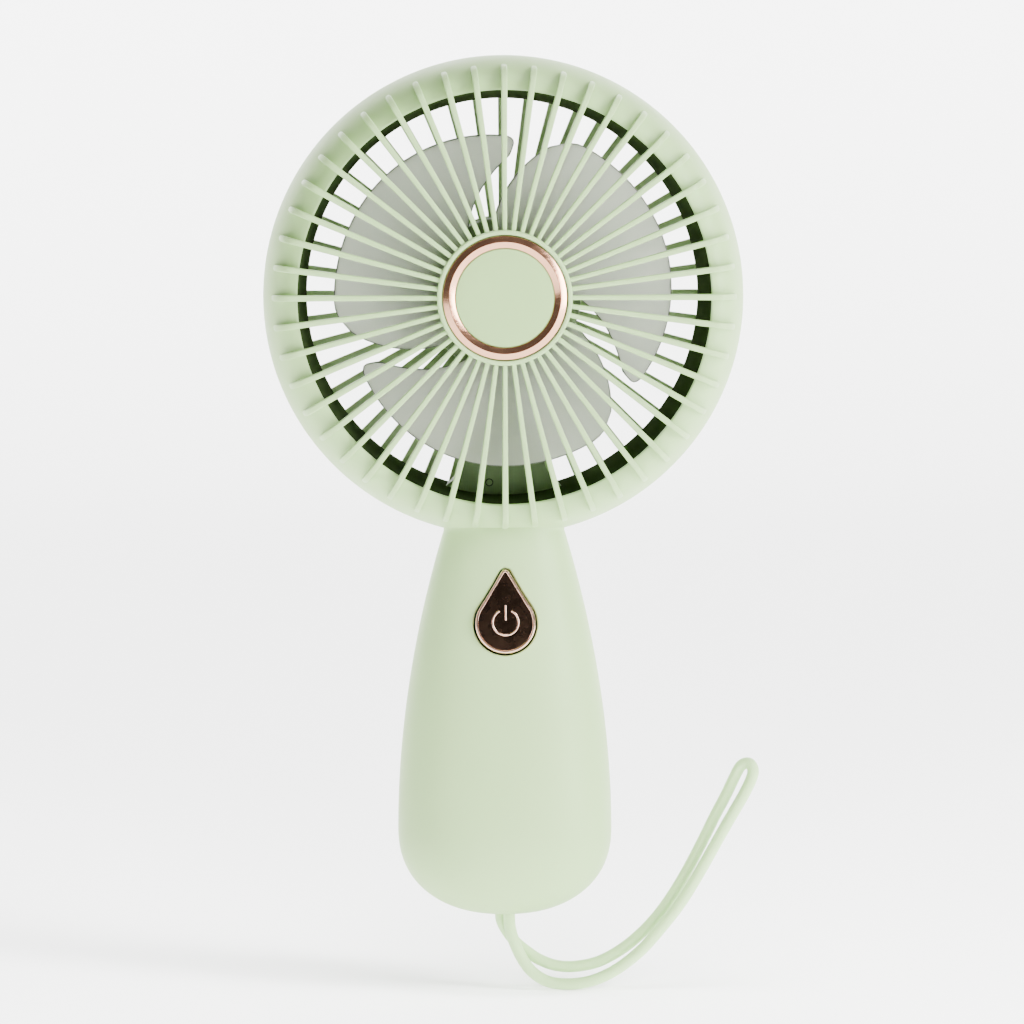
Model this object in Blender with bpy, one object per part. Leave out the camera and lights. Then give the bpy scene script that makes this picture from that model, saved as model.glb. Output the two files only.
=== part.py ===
"""Handheld electric fan with a round ducted head, an egg-shaped handle and a wrist loop.

Metres, +Z up, the front faces -Y. The origin is the grip point on the handle's axis. Sizes below are
in millimetres. Head pieces are modelled in a frame whose z runs forward along the fan's axis (w) and
whose y runs up (v); the button's pieces use the same layout, tilted to lie on the handle's front.
"""
import math

import bmesh
import bpy
from mathutils import Matrix, Vector

MM = 0.001
GAP = 0.3                      # between pieces that touch
RUNNING = 0.1                  # radial clearance of a turning or sliding fit
SEAM = 0.15                    # half the seam between the front and the rear mouldings

# Overall
RING_R = 55.1
RING_BOTTOM = 87.6             # lowest point of the head's ring above the handle's bottom
GRIP_HEIGHT = 40.0             # grip point above the handle's bottom
HUB_HEIGHT = RING_BOTTOM + RING_R

# Head ring
RING_FRONT = 13.5              # front lip, ahead of the seam
RING_REAR = 15.9               # rear lip, behind the seam
RING_WIDTH = 7.95              # from the outer edge in to the front lip
REAR_RING_WIDTH = 6.2
LIP_R = RING_R - RING_WIDTH
REAR_LIP_R = RING_R - REAR_RING_WIDTH
LIP_THICKNESS = 0.6
RING_WALL = 1.8
RING_SEGMENTS = 48

# Grilles
RIB_COUNT = 48
RIB_WIDTH = 1.6
RIB_FRONT = 16.2
RIB_DEPTH = 3.2
RIB_TIP_INSET = 2.4             # rib tips inside the ring's outer edge
RIB_TIP_R = RING_R - RIB_TIP_INSET
HUB_RIM_R = 15.4
HUB_RIM_WALL = 1.0
HUB_RIM_FRONT = 16.9
HUB_FLOOR = 1.8
REAR_RIB_DEPTH = 2.5
REAR_DISC_R = 18.2
REAR_RIM_R = REAR_LIP_R - GAP - 0.1

# Badge
BADGE_RING_WIDTH = 2.8
BADGE_RING_PROUD = 0.5
BADGE_RIDGE = 0.55             # crest above the ring's edges
BADGE_DISC_RECESS = 0.2

# Duct and motor carrier
DUCT_STEP = 0.25               # duct's front edge inside the lip
DUCT_DRAFT = 1.7               # narrowing of the duct from front to rear
DUCT_FRONT_R = LIP_R - DUCT_STEP
DUCT_REAR_R = DUCT_FRONT_R - DUCT_DRAFT
DUCT_WALL = 1.25
FLANGE_HALF = 1.0
MOTOR_R = 12.0
MOTOR_ROOM = 5.8               # from the motor out to the pod's outside
POD_R = MOTOR_R + MOTOR_ROOM
POD_WALL = 1.5
POD_FRONT = 0.6
POD_FACE = 1.6
STRUT_FRONT = -2.5
WIRE_GROOVE_WIDTH = 3.8
WIRE_GROOVE_DEPTH = 2.6
HEAD_SCREW_ANGLES = (90, 210, 330)
HEAD_SCREW_INSET = 3.9
HEAD_SCREW_R = RING_R - HEAD_SCREW_INSET
HEAD_SCREW_SEAT = -5.0         # under the head screws' heads
HEAD_POST_R = 2.6

# Motor
MOTOR_LENGTH = 7.5
MOTOR_WALL = 0.8
SHAFT_R = 1.0
BUSH_R = 3.0
MAGNET_WALL = 2.0
AIR_GAP = 1.4                  # between the magnet and the rotor
ROTOR_R = MOTOR_R - MOTOR_WALL - GAP - MAGNET_WALL - AIR_GAP
MOTOR_SCREW_INSET = 4.0        # screws inside the can's outside
MOTOR_SCREW_R = MOTOR_R - MOTOR_SCREW_INSET

# Impeller
BLADE_COUNT = 3
BLADE_CLEARANCE = 8.3          # broad end of a blade to the duct
TIP_DROP = 2.2                 # hooked tip inside the broad end
BLADE_R = DUCT_FRONT_R - BLADE_CLEARANCE
BLADE_TIP_R = BLADE_R - TIP_DROP
BLADE_THICKNESS = 1.1
BLADE_REAR = 3.9               # middle of the blade at its leading, hooked edge
BLADE_FRONT = 9.3              # middle of the blade at its trailing edge
BLADE_ANGLE = 86.0             # first hooked tip, from +X
IMPELLER_HUB_R = 14.0
IMPELLER_HUB_FRONT = 10.4
IMPELLER_HUB_REAR = 2.6
IMPELLER_WALL = 1.3

# Handle
BELLY_HEIGHT = 20.0
BELLY_HALF_WIDTH = 24.6
BELLY_HALF_DEPTH = 17.0
NECK_RISE = 1.3                # neck's section above the ring's lowest point
NECK_HEIGHT = RING_BOTTOM + NECK_RISE
NECK_HALF_WIDTH = 13.85
NECK_HALF_DEPTH = 9.7
TAPER_POWER = 1.94
BOTTOM_POWER = 2.25
SECTION_POWER = 2.3
HANDLE_WALL = 2.0
FLOOR_THICKNESS = 4.0
INTO_RING = 9.4                # height the handle is drawn on into the ring
BOSS_R = 2.6
WIRE_HOLE = (3.4, -7.0, -2.2)  # half width, rear and front edge, through the ring's skin

# Button and switch
BUTTON_DROP = 16.6             # button's centre below the ring
BUTTON_HEIGHT = RING_BOTTOM - BUTTON_DROP
BUTTON_R = 6.9                 # round lower part of the drop
BUTTON_LENGTH = 19.2
BUTTON_TIP_R = 1.1
BUTTON_PROUD = 0.9
BUTTON_BEVEL = 0.7
BUTTON_TRAVEL = 0.6
BUTTON_FLANGE = 1.0
FLANGE_TOP = -3.2
FLANGE_BOTTOM = -3.9
STEM_BOTTOM = -4.9
SWITCH_SIZE = 6.0
SWITCH_HEIGHT = 3.1
PLUNGER_R = 1.75
PCB_DEPTH = 9.6                # board's front face below the handle's surface
PCB_THICKNESS = 1.0
PCB_HALF_WIDTH = 8.0
PCB_UP = 14.0
PCB_DOWN = 9.0
PCB_SCREW = (5.5, 11.5)        # x and height in the button's frame

# Battery and charging
CELL_R = 9.0
CELL_LENGTH = 48.6
CELL_BOTTOM = 8.4              # above the handle's bottom
CELL_Y = 0.4
CRADLE_WALL = 1.2
CRADLE_LENGTH = 44.0
CRADLE_EAR_REACH = 3.8         # ear screws outside the cell
CRADLE_EAR_X = CELL_R + CRADLE_EAR_REACH
CRADLE_EAR_HEIGHT = 30.0
CRADLE_EAR_Y = 2.0
CRADLE_EAR = 1.6
USB_ABOVE_CELL = 6.4
USB_HEIGHT = CELL_BOTTOM + CELL_LENGTH + USB_ABOVE_CELL   # socket centre
USB_WIDTH = 9.0
USB_THICKNESS = 3.2
USB_LENGTH = 7.4
USB_SHELL = 0.35
LENS_ABOVE_USB = 5.8
LENS_HEIGHT = USB_HEIGHT + LENS_ABOVE_USB
LENS_R = 1.0

# Screws
SCREW_R = 0.85
SCREW_HEAD_R = 1.6
SCREW_HEAD_HEIGHT = 1.3
SCREW_CLEARANCE = 0.3
TOP_SCREW_DROP = 7.6           # upper handle screws below the ring
# x, height and counterbore floor of the handle's screws
SHELL_SCREWS = ((11.2, RING_BOTTOM - TOP_SCREW_DROP, 3.0), (14.5, 12.0, 4.5))
WIRE_R = 0.6

# Lanyard
LANYARD_R = 1.35
ANCHOR_NECK_R = 4.6
ANCHOR_PLATE_R = 6.2
ANCHOR_PLATE = 1.7
SOCKET_DEPTH = 2.4
LANYARD_START = (0.95, -1.6)
LANYARD_END = (-0.95, 1.6)
# Centre line below and beside the handle: x, y, height above the handle's bottom
LANYARD_ROUTE = (
    (0.95, -1.6, -0.6), (1.15, -1.6, -3.2), (2.0, -1.55, -6.2), (3.8, -1.5, -10.2),
    (6.4, -1.5, -13.6), (10.2, -1.5, -15.8), (15.5, -1.5, -16.3), (20.8, -1.5, -15.3),
    (26.1, -1.5, -12.7), (31.4, -1.5, -8.5), (35.8, -1.5, -3.6), (40.3, -1.5, 2.1),
    (44.2, -1.5, 8.3), (48.2, -1.5, 15.4), (51.7, -1.5, 21.6), (54.8, -1.4, 26.9),
    (56.8, -1.2, 30.9), (57.3, -0.8, 33.2), (56.3, 0.0, 34.6), (54.5, 0.8, 33.8),
    (52.9, 1.2, 30.8), (51.1, 1.4, 27.0), (48.6, 1.5, 22.2), (46.0, 1.5, 16.9),
    (43.0, 1.5, 11.1), (39.6, 1.5, 5.2), (35.8, 1.5, -0.3), (31.5, 1.5, -5.0),
    (26.9, 1.5, -8.7), (21.7, 1.5, -11.5), (16.4, 1.5, -12.6), (11.9, 1.5, -12.4),
    (8.0, 1.5, -11.0), (5.0, 1.5, -9.0), (2.5, 1.55, -6.9), (0.6, 1.6, -4.5),
    (-0.6, 1.6, -2.3), (-0.95, 1.6, -0.6),
)
LANYARD_STEPS = 2              # curve points between two route points

# Colour, roughness, metallic
PALE_GREEN = ((0.58, 0.66, 0.47), 0.42, 0.0)
DARK_GREEN = ((0.07, 0.11, 0.05), 0.5, 0.0)
DISC_GREEN = ((0.50, 0.59, 0.40), 0.5, 0.0)
ROSE_GOLD = ((0.72, 0.43, 0.31), 0.15, 1.0)
BROWN_GOLD = ((0.32, 0.17, 0.12), 0.1, 1.0)
FROSTED = ((0.62, 0.63, 0.59), 0.45, 0.0)
STEEL = ((0.62, 0.62, 0.6), 0.3, 1.0)
DARK_STEEL = ((0.12, 0.12, 0.13), 0.4, 1.0)
BRASS = ((0.68, 0.5, 0.2), 0.3, 1.0)
COPPER = ((0.62, 0.3, 0.16), 0.35, 1.0)
BLACK = ((0.02, 0.02, 0.022), 0.5, 0.0)
WHITE = ((0.8, 0.8, 0.78), 0.5, 0.0)
BOARD_GREEN = ((0.02, 0.14, 0.06), 0.45, 0.0)
CELL_BLUE = ((0.05, 0.18, 0.42), 0.4, 0.0)
RED = ((0.55, 0.03, 0.02), 0.5, 0.0)
CLEAR = ((0.85, 0.9, 0.88), 0.2, 0.0)


def height(value):
    """World z of a height above the handle's bottom."""
    return value - GRIP_HEIGHT


# Frames -------------------------------------------------------------------------------------------

def bottom_factor(h):
    """Share of the full section at a height in the rounded bottom."""
    if h >= BELLY_HEIGHT:
        return 1.0
    share = (BELLY_HEIGHT - max(h, 0.4)) / BELLY_HEIGHT
    return (1 - share ** BOTTOM_POWER) ** (1 / BOTTOM_POWER)


def taper(h, belly, neck):
    """Half width or half depth of the handle at a height."""
    if h < BELLY_HEIGHT:
        return belly * bottom_factor(h)
    share = (h - BELLY_HEIGHT) / (NECK_HEIGHT - BELLY_HEIGHT)
    return belly - (belly - neck) * share ** TAPER_POWER


def half_width(h):
    return taper(h, BELLY_HALF_WIDTH, NECK_HALF_WIDTH)


def half_depth(h):
    return taper(h, BELLY_HALF_DEPTH, NECK_HALF_DEPTH)


def surface_tilt(h, reach):
    """Lean of the handle's front between two heights either side of h."""
    return math.atan2(half_depth(h - reach) - half_depth(h + reach), 2 * reach)


BUTTON_TILT = surface_tilt(BUTTON_HEIGHT, BUTTON_LENGTH / 2)
HEAD_MATRIX = Matrix.Translation((0, 0, height(HUB_HEIGHT) * MM)) @ Matrix.Rotation(math.pi / 2, 4, "X")
BUTTON_MATRIX = (Matrix.Translation((0, -half_depth(BUTTON_HEIGHT) * MM, height(BUTTON_HEIGHT) * MM))
                 @ Matrix.Rotation(math.pi / 2 - BUTTON_TILT, 4, "X"))


def button_point(x, v, w):
    """World position, in millimetres, of a point in the button's frame."""
    return BUTTON_MATRIX @ Vector((x * MM, v * MM, w * MM)) / MM


def head_point(x, v, w):
    """World position, in millimetres, of a point in the head's frame."""
    return HEAD_MATRIX @ Vector((x * MM, v * MM, w * MM)) / MM


# Modelling helpers --------------------------------------------------------------------------------

def clear_scene():
    for item in list(bpy.data.objects):
        bpy.data.objects.remove(item)


def make_object(name, bm):
    """A new object from a bmesh in millimetres."""
    bmesh.ops.recalc_face_normals(bm, faces=bm.faces)
    bmesh.ops.scale(bm, vec=(MM, MM, MM), verts=bm.verts)
    mesh = bpy.data.meshes.new(name)
    bm.to_mesh(mesh)
    bm.free()
    item = bpy.data.objects.new(name, mesh)
    bpy.context.collection.objects.link(item)
    return item


def lofted(name, loops):
    """A closed solid through loops with the same number of points; a loop of one point is an apex."""
    bm = bmesh.new()
    rings = [[bm.verts.new(point) for point in loop] for loop in loops]
    for lower, upper in zip(rings, rings[1:]):
        count = max(len(lower), len(upper))
        for i in range(count):
            j = (i + 1) % count
            if len(lower) == 1:
                bm.faces.new((lower[0], upper[j], upper[i]))
            elif len(upper) == 1:
                bm.faces.new((lower[i], lower[j], upper[0]))
            else:
                bm.faces.new((lower[i], lower[j], upper[j], upper[i]))
    for end in (rings[0], rings[-1]):
        if len(end) > 2:
            bm.faces.new(end)
    return make_object(name, bm)


def turned(name, profile, segments=RING_SEGMENTS, phase=0.0):
    """A profile of (radius, z) points turned about z: a ring, or a solid if it starts on the axis."""
    def loop(radius, z):
        if radius == 0:
            return [(0, 0, z)]
        return [(radius * math.cos(phase + 2 * math.pi * i / segments),
                 radius * math.sin(phase + 2 * math.pi * i / segments), z) for i in range(segments)]

    if profile[0][0] == 0:
        return lofted(name, [loop(*point) for point in profile])
    bm = bmesh.new()
    rings = [[bm.verts.new(point) for point in loop(*pair)] for pair in profile]
    for k, ring in enumerate(rings):
        following = rings[(k + 1) % len(rings)]
        for i in range(segments):
            j = (i + 1) % segments
            bm.faces.new((ring[i], ring[j], following[j], following[i]))
    return make_object(name, bm)


def prism(name, outline, low, high):
    """An outline of (x, y) points extruded from z = low to z = high."""
    return lofted(name, [[(x, y, z) for x, y in outline] for z in (low, high)])


def box(name, xs, ys, zs):
    outline = ((xs[0], ys[0]), (xs[1], ys[0]), (xs[1], ys[1]), (xs[0], ys[1]))
    return prism(name, outline, *zs)


def circle(radius, segments=16, centre=(0.0, 0.0), phase=0.0):
    return [(centre[0] + radius * math.cos(phase + 2 * math.pi * i / segments),
             centre[1] + radius * math.sin(phase + 2 * math.pi * i / segments)) for i in range(segments)]


def rod(name, radius, low, high, centre=(0.0, 0.0), segments=16, phase=0.0):
    return prism(name, circle(radius, segments, centre, phase), low, high)


def slot_outline(width, thickness, segments=6):
    """A bar with round ends, centred on the origin, long side along x."""
    radius = thickness / 2
    reach = width / 2 - radius
    points = []
    for side in (1, -1):
        for i in range(segments + 1):
            angle = math.pi * (i / segments - 0.5)
            points.append((side * (reach + radius * math.cos(angle)), side * radius * math.sin(angle)))
    return points


def bake(item):
    """Replaces an object's mesh by its evaluated one."""
    bpy.context.view_layer.update()
    graph = bpy.context.evaluated_depsgraph_get()
    mesh = bpy.data.meshes.new_from_object(item.evaluated_get(graph))
    item.modifiers.clear()
    old = item.data
    item.data = mesh
    bpy.data.meshes.remove(old)
    mesh.name = item.name


def combine(target, tool, operation):
    """Joins or cuts the target with a tool that is then discarded."""
    modifier = target.modifiers.new(operation.lower(), "BOOLEAN")
    modifier.operation = operation
    modifier.solver = "EXACT"
    modifier.object = tool
    bake(target)
    spent = tool.data
    bpy.data.objects.remove(tool)
    bpy.data.meshes.remove(spent)
    return target


def cut(target, tool):
    return combine(target, tool, "DIFFERENCE")


def join(target, tool):
    return combine(target, tool, "UNION")


def weld(item):
    """Merges points that a cut left closer than two micrometres."""
    bm = bmesh.new()
    bm.from_mesh(item.data)
    bmesh.ops.remove_doubles(bm, verts=bm.verts, dist=2e-6)
    bmesh.ops.dissolve_degenerate(bm, edges=bm.edges, dist=1e-7)
    bm.to_mesh(item.data)
    bm.free()
    return item


def turn(item, matrix):
    """Moves an object's points, and so leaves its origin where it is."""
    item.data.transform(matrix)
    return item


def about_y(item):
    """Lays a piece made along z so that z runs along world +Y and its y along world -Z."""
    return turn(item, Matrix.Rotation(-math.pi / 2, 4, "X"))


def finish(item, look, parent=None):
    """Gives an object its material, smooth shading and parent."""
    colour, roughness, metallic = look
    material = bpy.data.materials.new(item.name)
    material.use_nodes = True
    shader = material.node_tree.nodes["Principled BSDF"]
    shader.inputs["Base Color"].default_value = (*colour, 1)
    shader.inputs["Roughness"].default_value = roughness
    shader.inputs["Metallic"].default_value = metallic
    material.diffuse_color = (*colour, 1)
    item.data.materials.clear()
    item.data.materials.append(material)
    if item.type == "MESH":
        item.data.shade_smooth()
        item.data.set_sharp_from_angle(angle=math.radians(32))
    item.parent = parent
    return item


def frame(name, matrix):
    """An empty that carries the pieces modelled in its frame."""
    empty = bpy.data.objects.new(name, None)
    empty.matrix_world = matrix
    bpy.context.collection.objects.link(empty)
    return empty


def smooth_curve(points, steps):
    """Catmull-Rom points through a route."""
    route = [Vector(point) for point in points]
    padded = [2 * route[0] - route[1], *route, 2 * route[-1] - route[-2]]
    result = []
    for a, b, c, d in zip(padded, padded[1:], padded[2:], padded[3:]):
        for i in range(steps):
            t = i / steps
            result.append(0.5 * (2 * b + (c - a) * t + (2 * a - 5 * b + 4 * c - d) * t ** 2
                                 + (3 * b - a - 3 * c + d) * t ** 3))
    result.append(route[-1])
    return result


def tube(name, points, radius, look):
    """A round tube along world points in millimetres, with closed ends."""
    data = bpy.data.curves.new(name, "CURVE")
    data.dimensions = "3D"
    data.bevel_depth = radius * MM
    data.bevel_resolution = 2
    data.use_fill_caps = True
    data.render_resolution_u = 0
    spline = data.splines.new("POLY")
    spline.points.add(len(points) - 1)
    for slot, point in zip(spline.points, points):
        slot.co = (*(Vector(point) * MM), 1)
    item = bpy.data.objects.new(name, data)
    bpy.context.collection.objects.link(item)
    return finish(item, look)


# Head ring and grilles ----------------------------------------------------------------------------

def front_skin(offset, steps):
    """The ring's front surface from the seam to the lip, moved inward by an offset."""
    wide = RING_R - LIP_R - offset
    deep = RING_FRONT - offset
    angles = [math.pi / 2 * (1 - i / steps) for i in range(steps + 1)]
    return [(LIP_R + wide * math.sin(a), deep * math.cos(a)) for a in angles]


def rear_skin(offset, steps):
    """The ring's rear surface from the seam to the rear lip, moved inward by an offset."""
    wide = RING_R - REAR_LIP_R - offset
    deep = RING_REAR - offset
    angles = [math.pi / 2 * (1 - i / steps) for i in range(steps + 1)]
    return [(REAR_LIP_R + wide * math.sin(a), -deep * math.cos(a)) for a in angles]


def duct_outer(w):
    """Outer radius of the duct's wall at a place along the axis."""
    share = (w - DUCT_REAR) / (DUCT_FRONT - DUCT_REAR)
    return DUCT_REAR_R + (DUCT_FRONT_R - DUCT_REAR_R) * share + DUCT_WALL


DUCT_FRONT = RING_FRONT - LIP_THICKNESS - GAP
REAR_GRILLE_FRONT = -RING_REAR + 3.1
DUCT_REAR = REAR_GRILLE_FRONT + GAP
RIB_BACK = RIB_FRONT - RIB_DEPTH
BETWEEN_RIBS = math.pi / RIB_COUNT   # turns a ring's edges so that each rib meets a flat facet
SKIN_INNER_R = RING_R - RING_WALL
FLANGE_R = SKIN_INNER_R - GAP


def polar(radius, degrees):
    return radius * math.cos(math.radians(degrees)), radius * math.sin(math.radians(degrees))


def front_grille(head):
    """Ring cover, 48 radial ribs and the cup that holds the badge, as one moulding."""
    step_r = duct_outer(DUCT_FRONT) + GAP
    outer = front_skin(0, 5)
    outer[0] = (RING_R, SEAM)
    under = [point for point in front_skin(RING_WALL, 3) if point[0] > step_r + 0.3]
    under[0] = (SKIN_INNER_R, SEAM)
    inner_w = (RING_FRONT - RING_WALL) * 0.985
    lip_w = RING_FRONT - LIP_THICKNESS
    profile = outer + [(LIP_R, lip_w), (step_r, lip_w), (step_r, inner_w)] + under[::-1]
    grille = turned("front_grille", profile, RING_SEGMENTS, BETWEEN_RIBS)
    for degrees in HEAD_SCREW_ANGLES:
        centre = polar(HEAD_SCREW_R, degrees)
        boss = rod("boss", 2.1, FLANGE_HALF + GAP, RING_FRONT * 0.66, centre, 12)
        join(grille, boss)
        cut(grille, rod("hole", SCREW_R + SCREW_CLEARANCE, -1, 6.6, centre, 12))
    for k in range(RIB_COUNT):
        join(grille, front_rib(k * 360 / RIB_COUNT))
    cup_floor = RIB_BACK - 0.2
    seat_r = HUB_RIM_R - HUB_RIM_WALL
    cup = ((0, cup_floor), (HUB_RIM_R, cup_floor), (HUB_RIM_R, HUB_RIM_FRONT),
           (seat_r, HUB_RIM_FRONT), (seat_r, cup_floor + HUB_FLOOR), (0, cup_floor + HUB_FLOOR))
    join(grille, turned("cup", cup, RING_SEGMENTS, BETWEEN_RIBS))
    return finish(weld(grille), PALE_GREEN, head)


def front_rib(degrees):
    """One rib: flat front, rounded down to nothing on the ring's convex skin."""
    start = HUB_RIM_R - HUB_RIM_WALL / 2
    side = [(start, RIB_FRONT), (LIP_R + 1.8, RIB_FRONT), (LIP_R + 4.2, RIB_FRONT - 1.3),
            (RIB_TIP_R, RING_FRONT * 0.75), (RIB_TIP_R, RING_FRONT * 0.62),
            (LIP_R + 2.9, RING_FRONT - 1.9), (LIP_R + 0.8, RING_FRONT - 0.35),
            (LIP_R - 0.4, RIB_BACK), (start, RIB_BACK)]
    rib = lofted("rib", [[(r, y, w) for r, w in side] for y in (-RIB_WIDTH / 2, RIB_WIDTH / 2)])
    return turn(rib, Matrix.Rotation(math.radians(degrees), 4, "Z"))


def rear_grille(head):
    """Flat ribbed disc that closes the duct, its ribs in line with the front ones."""
    back = -RING_REAR + 0.2
    flange_back = -RING_REAR + RING_WALL + GAP
    flange_r = REAR_LIP_R + 0.2
    inner_r = DUCT_REAR_R + 0.2
    profile = ((REAR_RIM_R, back), (REAR_RIM_R, flange_back), (flange_r, flange_back),
               (flange_r, REAR_GRILLE_FRONT), (inner_r, REAR_GRILLE_FRONT), (inner_r, back))
    grille = turned("rear_grille", profile, RING_SEGMENTS, BETWEEN_RIBS)
    for k in range(RIB_COUNT):
        join(grille, rear_rib(k * 360 / RIB_COUNT, back + 0.3))
    disc = ((0, back + 0.6), (REAR_DISC_R, back + 0.6), (REAR_DISC_R, REAR_GRILLE_FRONT),
            (0, REAR_GRILLE_FRONT))
    join(grille, turned("disc", disc, RING_SEGMENTS, BETWEEN_RIBS))
    for degrees in HEAD_SCREW_ANGLES:
        centre = polar(HEAD_SCREW_R, degrees)
        cut(grille, rod("notch", HEAD_POST_R + GAP, back - 1, REAR_GRILLE_FRONT + 1, centre, 12))
    return finish(weld(grille), PALE_GREEN, head)


def rear_rib(degrees, back):
    start = REAR_DISC_R - 1.0
    end = DUCT_REAR_R + 1.4
    half = RIB_WIDTH / 2
    rib = box("rib", (start, end), (-half, half), (back, back + REAR_RIB_DEPTH))
    return turn(rib, Matrix.Rotation(math.radians(degrees), 4, "Z"))


def badge_ring(head):
    """Metal ring whose face is one ridge of two slopes."""
    outer = HUB_RIM_R - HUB_RIM_WALL - GAP
    inner = outer - BADGE_RING_WIDTH
    seat = RIB_BACK - 0.2 + HUB_FLOOR + GAP
    top = HUB_RIM_FRONT + BADGE_RING_PROUD
    crest = (outer + inner) / 2
    edge = top - BADGE_RIDGE
    profile = ((outer, seat), (outer, edge), (crest + 0.1, top), (crest - 0.1, top),
               (inner, edge), (inner, seat))
    return finish(turned("badge_ring", profile, 32), ROSE_GOLD, head)


def badge_disc(head):
    radius = HUB_RIM_R - HUB_RIM_WALL - 2 * GAP - BADGE_RING_WIDTH
    seat = RIB_BACK - 0.2 + HUB_FLOOR + GAP
    front = HUB_RIM_FRONT - BADGE_DISC_RECESS
    profile = ((0, seat), (radius, seat), (radius, front), (0, front))
    return finish(turned("badge_disc", profile), DISC_GREEN, head)


# Duct, motor and impeller -------------------------------------------------------------------------

MOTOR_FRONT = POD_FRONT - POD_FACE - GAP
MOTOR_REAR = MOTOR_FRONT - MOTOR_LENGTH


STRUT_REAR = DUCT_REAR + 0.5


def strut_outline():
    """Channel from the motor pod to the duct, flaring to its foot."""
    start = POD_R - 1
    run = DUCT_REAR_R - 1.8 - start
    shares = ((3.3, 0), (3.5, 0.27), (5.4, 0.46), (8.6, 0.65), (9.4, 0.8), (12.6, 1))
    half = [(x, -start - run * share) for x, share in shares]
    foot = [polar(DUCT_REAR_R + 0.95, -73 - i * 34 / 8) for i in range(9)]
    return half + foot + [(-x, y) for x, y in reversed(half)]


def motor_carrier(head):
    """Duct wall with its clamping flange, the strut and the cup that holds the motor."""
    profile = ((DUCT_FRONT_R, DUCT_FRONT), (duct_outer(DUCT_FRONT), DUCT_FRONT),
               (duct_outer(FLANGE_HALF), FLANGE_HALF), (FLANGE_R, FLANGE_HALF),
               (FLANGE_R, -FLANGE_HALF), (duct_outer(-FLANGE_HALF), -FLANGE_HALF),
               (duct_outer(DUCT_REAR), DUCT_REAR), (DUCT_REAR_R, DUCT_REAR))
    carrier = turned("motor_carrier", profile)
    join(carrier, prism("strut", strut_outline(), STRUT_REAR, STRUT_FRONT))
    join(carrier, rod("pod", POD_R, DUCT_REAR + 0.2, POD_FRONT, segments=40))
    cut(carrier, rod("bay", POD_R - POD_WALL, DUCT_REAR - 1, POD_FRONT - POD_FACE, segments=32))
    cut(carrier, rod("nose", BUSH_R + 0.6, -5, 5))
    groove = (-POD_R + POD_WALL + 2, -RING_R)
    cut(carrier, box("groove", (-WIRE_GROOVE_WIDTH / 2, WIRE_GROOVE_WIDTH / 2),
                     (groove[1], groove[0]), (DUCT_REAR - 1, STRUT_REAR + WIRE_GROOVE_DEPTH)))
    for x in (-MOTOR_SCREW_R, MOTOR_SCREW_R):
        cut(carrier, rod("hole", SCREW_R + SCREW_CLEARANCE, -5, 5, (x, 0), 12))
    half_facet = math.pi / 12    # keeps the holes' corners off the flange's own edges
    for degrees in HEAD_SCREW_ANGLES:
        centre = polar(HEAD_SCREW_R, degrees)
        cut(carrier, rod("hole", SCREW_R + SCREW_CLEARANCE, -2, 2, centre, 12, half_facet))
    return finish(weld(carrier), DARK_GREEN, head)


def motor_can(head):
    """Steel cup, open at the rear, with a hole for the bush and two screw holes."""
    inner = MOTOR_R - MOTOR_WALL
    profile = ((MOTOR_R, MOTOR_FRONT), (MOTOR_R, MOTOR_REAR), (inner, MOTOR_REAR),
               (inner, MOTOR_FRONT - MOTOR_WALL), (BUSH_R + GAP, MOTOR_FRONT - MOTOR_WALL),
               (BUSH_R + GAP, MOTOR_FRONT))
    can = turned("motor_can", profile, 24, math.pi / 24)
    for x in (-MOTOR_SCREW_R, MOTOR_SCREW_R):
        cut(can, rod("hole", SCREW_R + SCREW_CLEARANCE, MOTOR_FRONT - 2, 0, (x, 0), 12))
    return finish(weld(can), STEEL, head)


def motor_end_cap(head):
    """Plastic rear cap with two solder tabs."""
    front = MOTOR_REAR - GAP
    cap = turned("motor_end_cap", ((0, front - 1.1), (MOTOR_R - 0.2, front - 1.1), (MOTOR_R - 0.2, front),
                                   (0, front)), 32)
    for x in (-4.6, 4.6):
        join(cap, box("tab", (x - 0.9, x + 0.9), (-4.5, -3.3), (front - 2.0, front - 0.5)))
    return finish(weld(cap), BLACK, head)


def motor_bush(head):
    low = MOTOR_FRONT - MOTOR_WALL - 0.2
    high = POD_FRONT + 0.2
    hole = SHAFT_R + RUNNING
    profile = ((BUSH_R, low), (BUSH_R, high), (hole, high), (hole, low))
    return finish(turned("motor_bush", profile, 16), BRASS, head)


def motor_magnet(head):
    outer = MOTOR_R - MOTOR_WALL - GAP
    low = MOTOR_REAR + 0.6
    high = MOTOR_FRONT - MOTOR_WALL - 1.0
    profile = ((outer, low), (outer, high), (outer - MAGNET_WALL, high), (outer - MAGNET_WALL, low))
    return finish(turned("motor_magnet", profile, 24), DARK_STEEL, head)


def rotor_core(head):
    low = MOTOR_REAR + 0.8
    high = MOTOR_FRONT - MOTOR_WALL - 1.2
    hole = SHAFT_R + GAP
    profile = ((ROTOR_R, low), (ROTOR_R, high), (hole, high), (hole, low))
    return finish(turned("rotor_core", profile, 20), COPPER, head)


def motor_shaft(head):
    low = MOTOR_REAR + 0.2
    high = IMPELLER_HUB_FRONT - IMPELLER_WALL - GAP
    profile = ((0, low), (SHAFT_R, low), (SHAFT_R, high), (0, high))
    return finish(turned("motor_shaft", profile, 16), STEEL, head)


def leading_angle(radius):
    """Sweep of the blade's hooked edge, in degrees after its tip."""
    if radius > BLADE_TIP_R - 4:
        share = min((radius - BLADE_TIP_R + 4) / 4, 1)
        return 1.6 * (1 - share) ** 1.5
    inward = (BLADE_TIP_R - 4 - radius) / (BLADE_TIP_R - 4 - IMPELLER_HUB_R)
    return 1.6 + 38.0 * inward ** 1.05 if inward > 0 else 1.6


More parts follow.
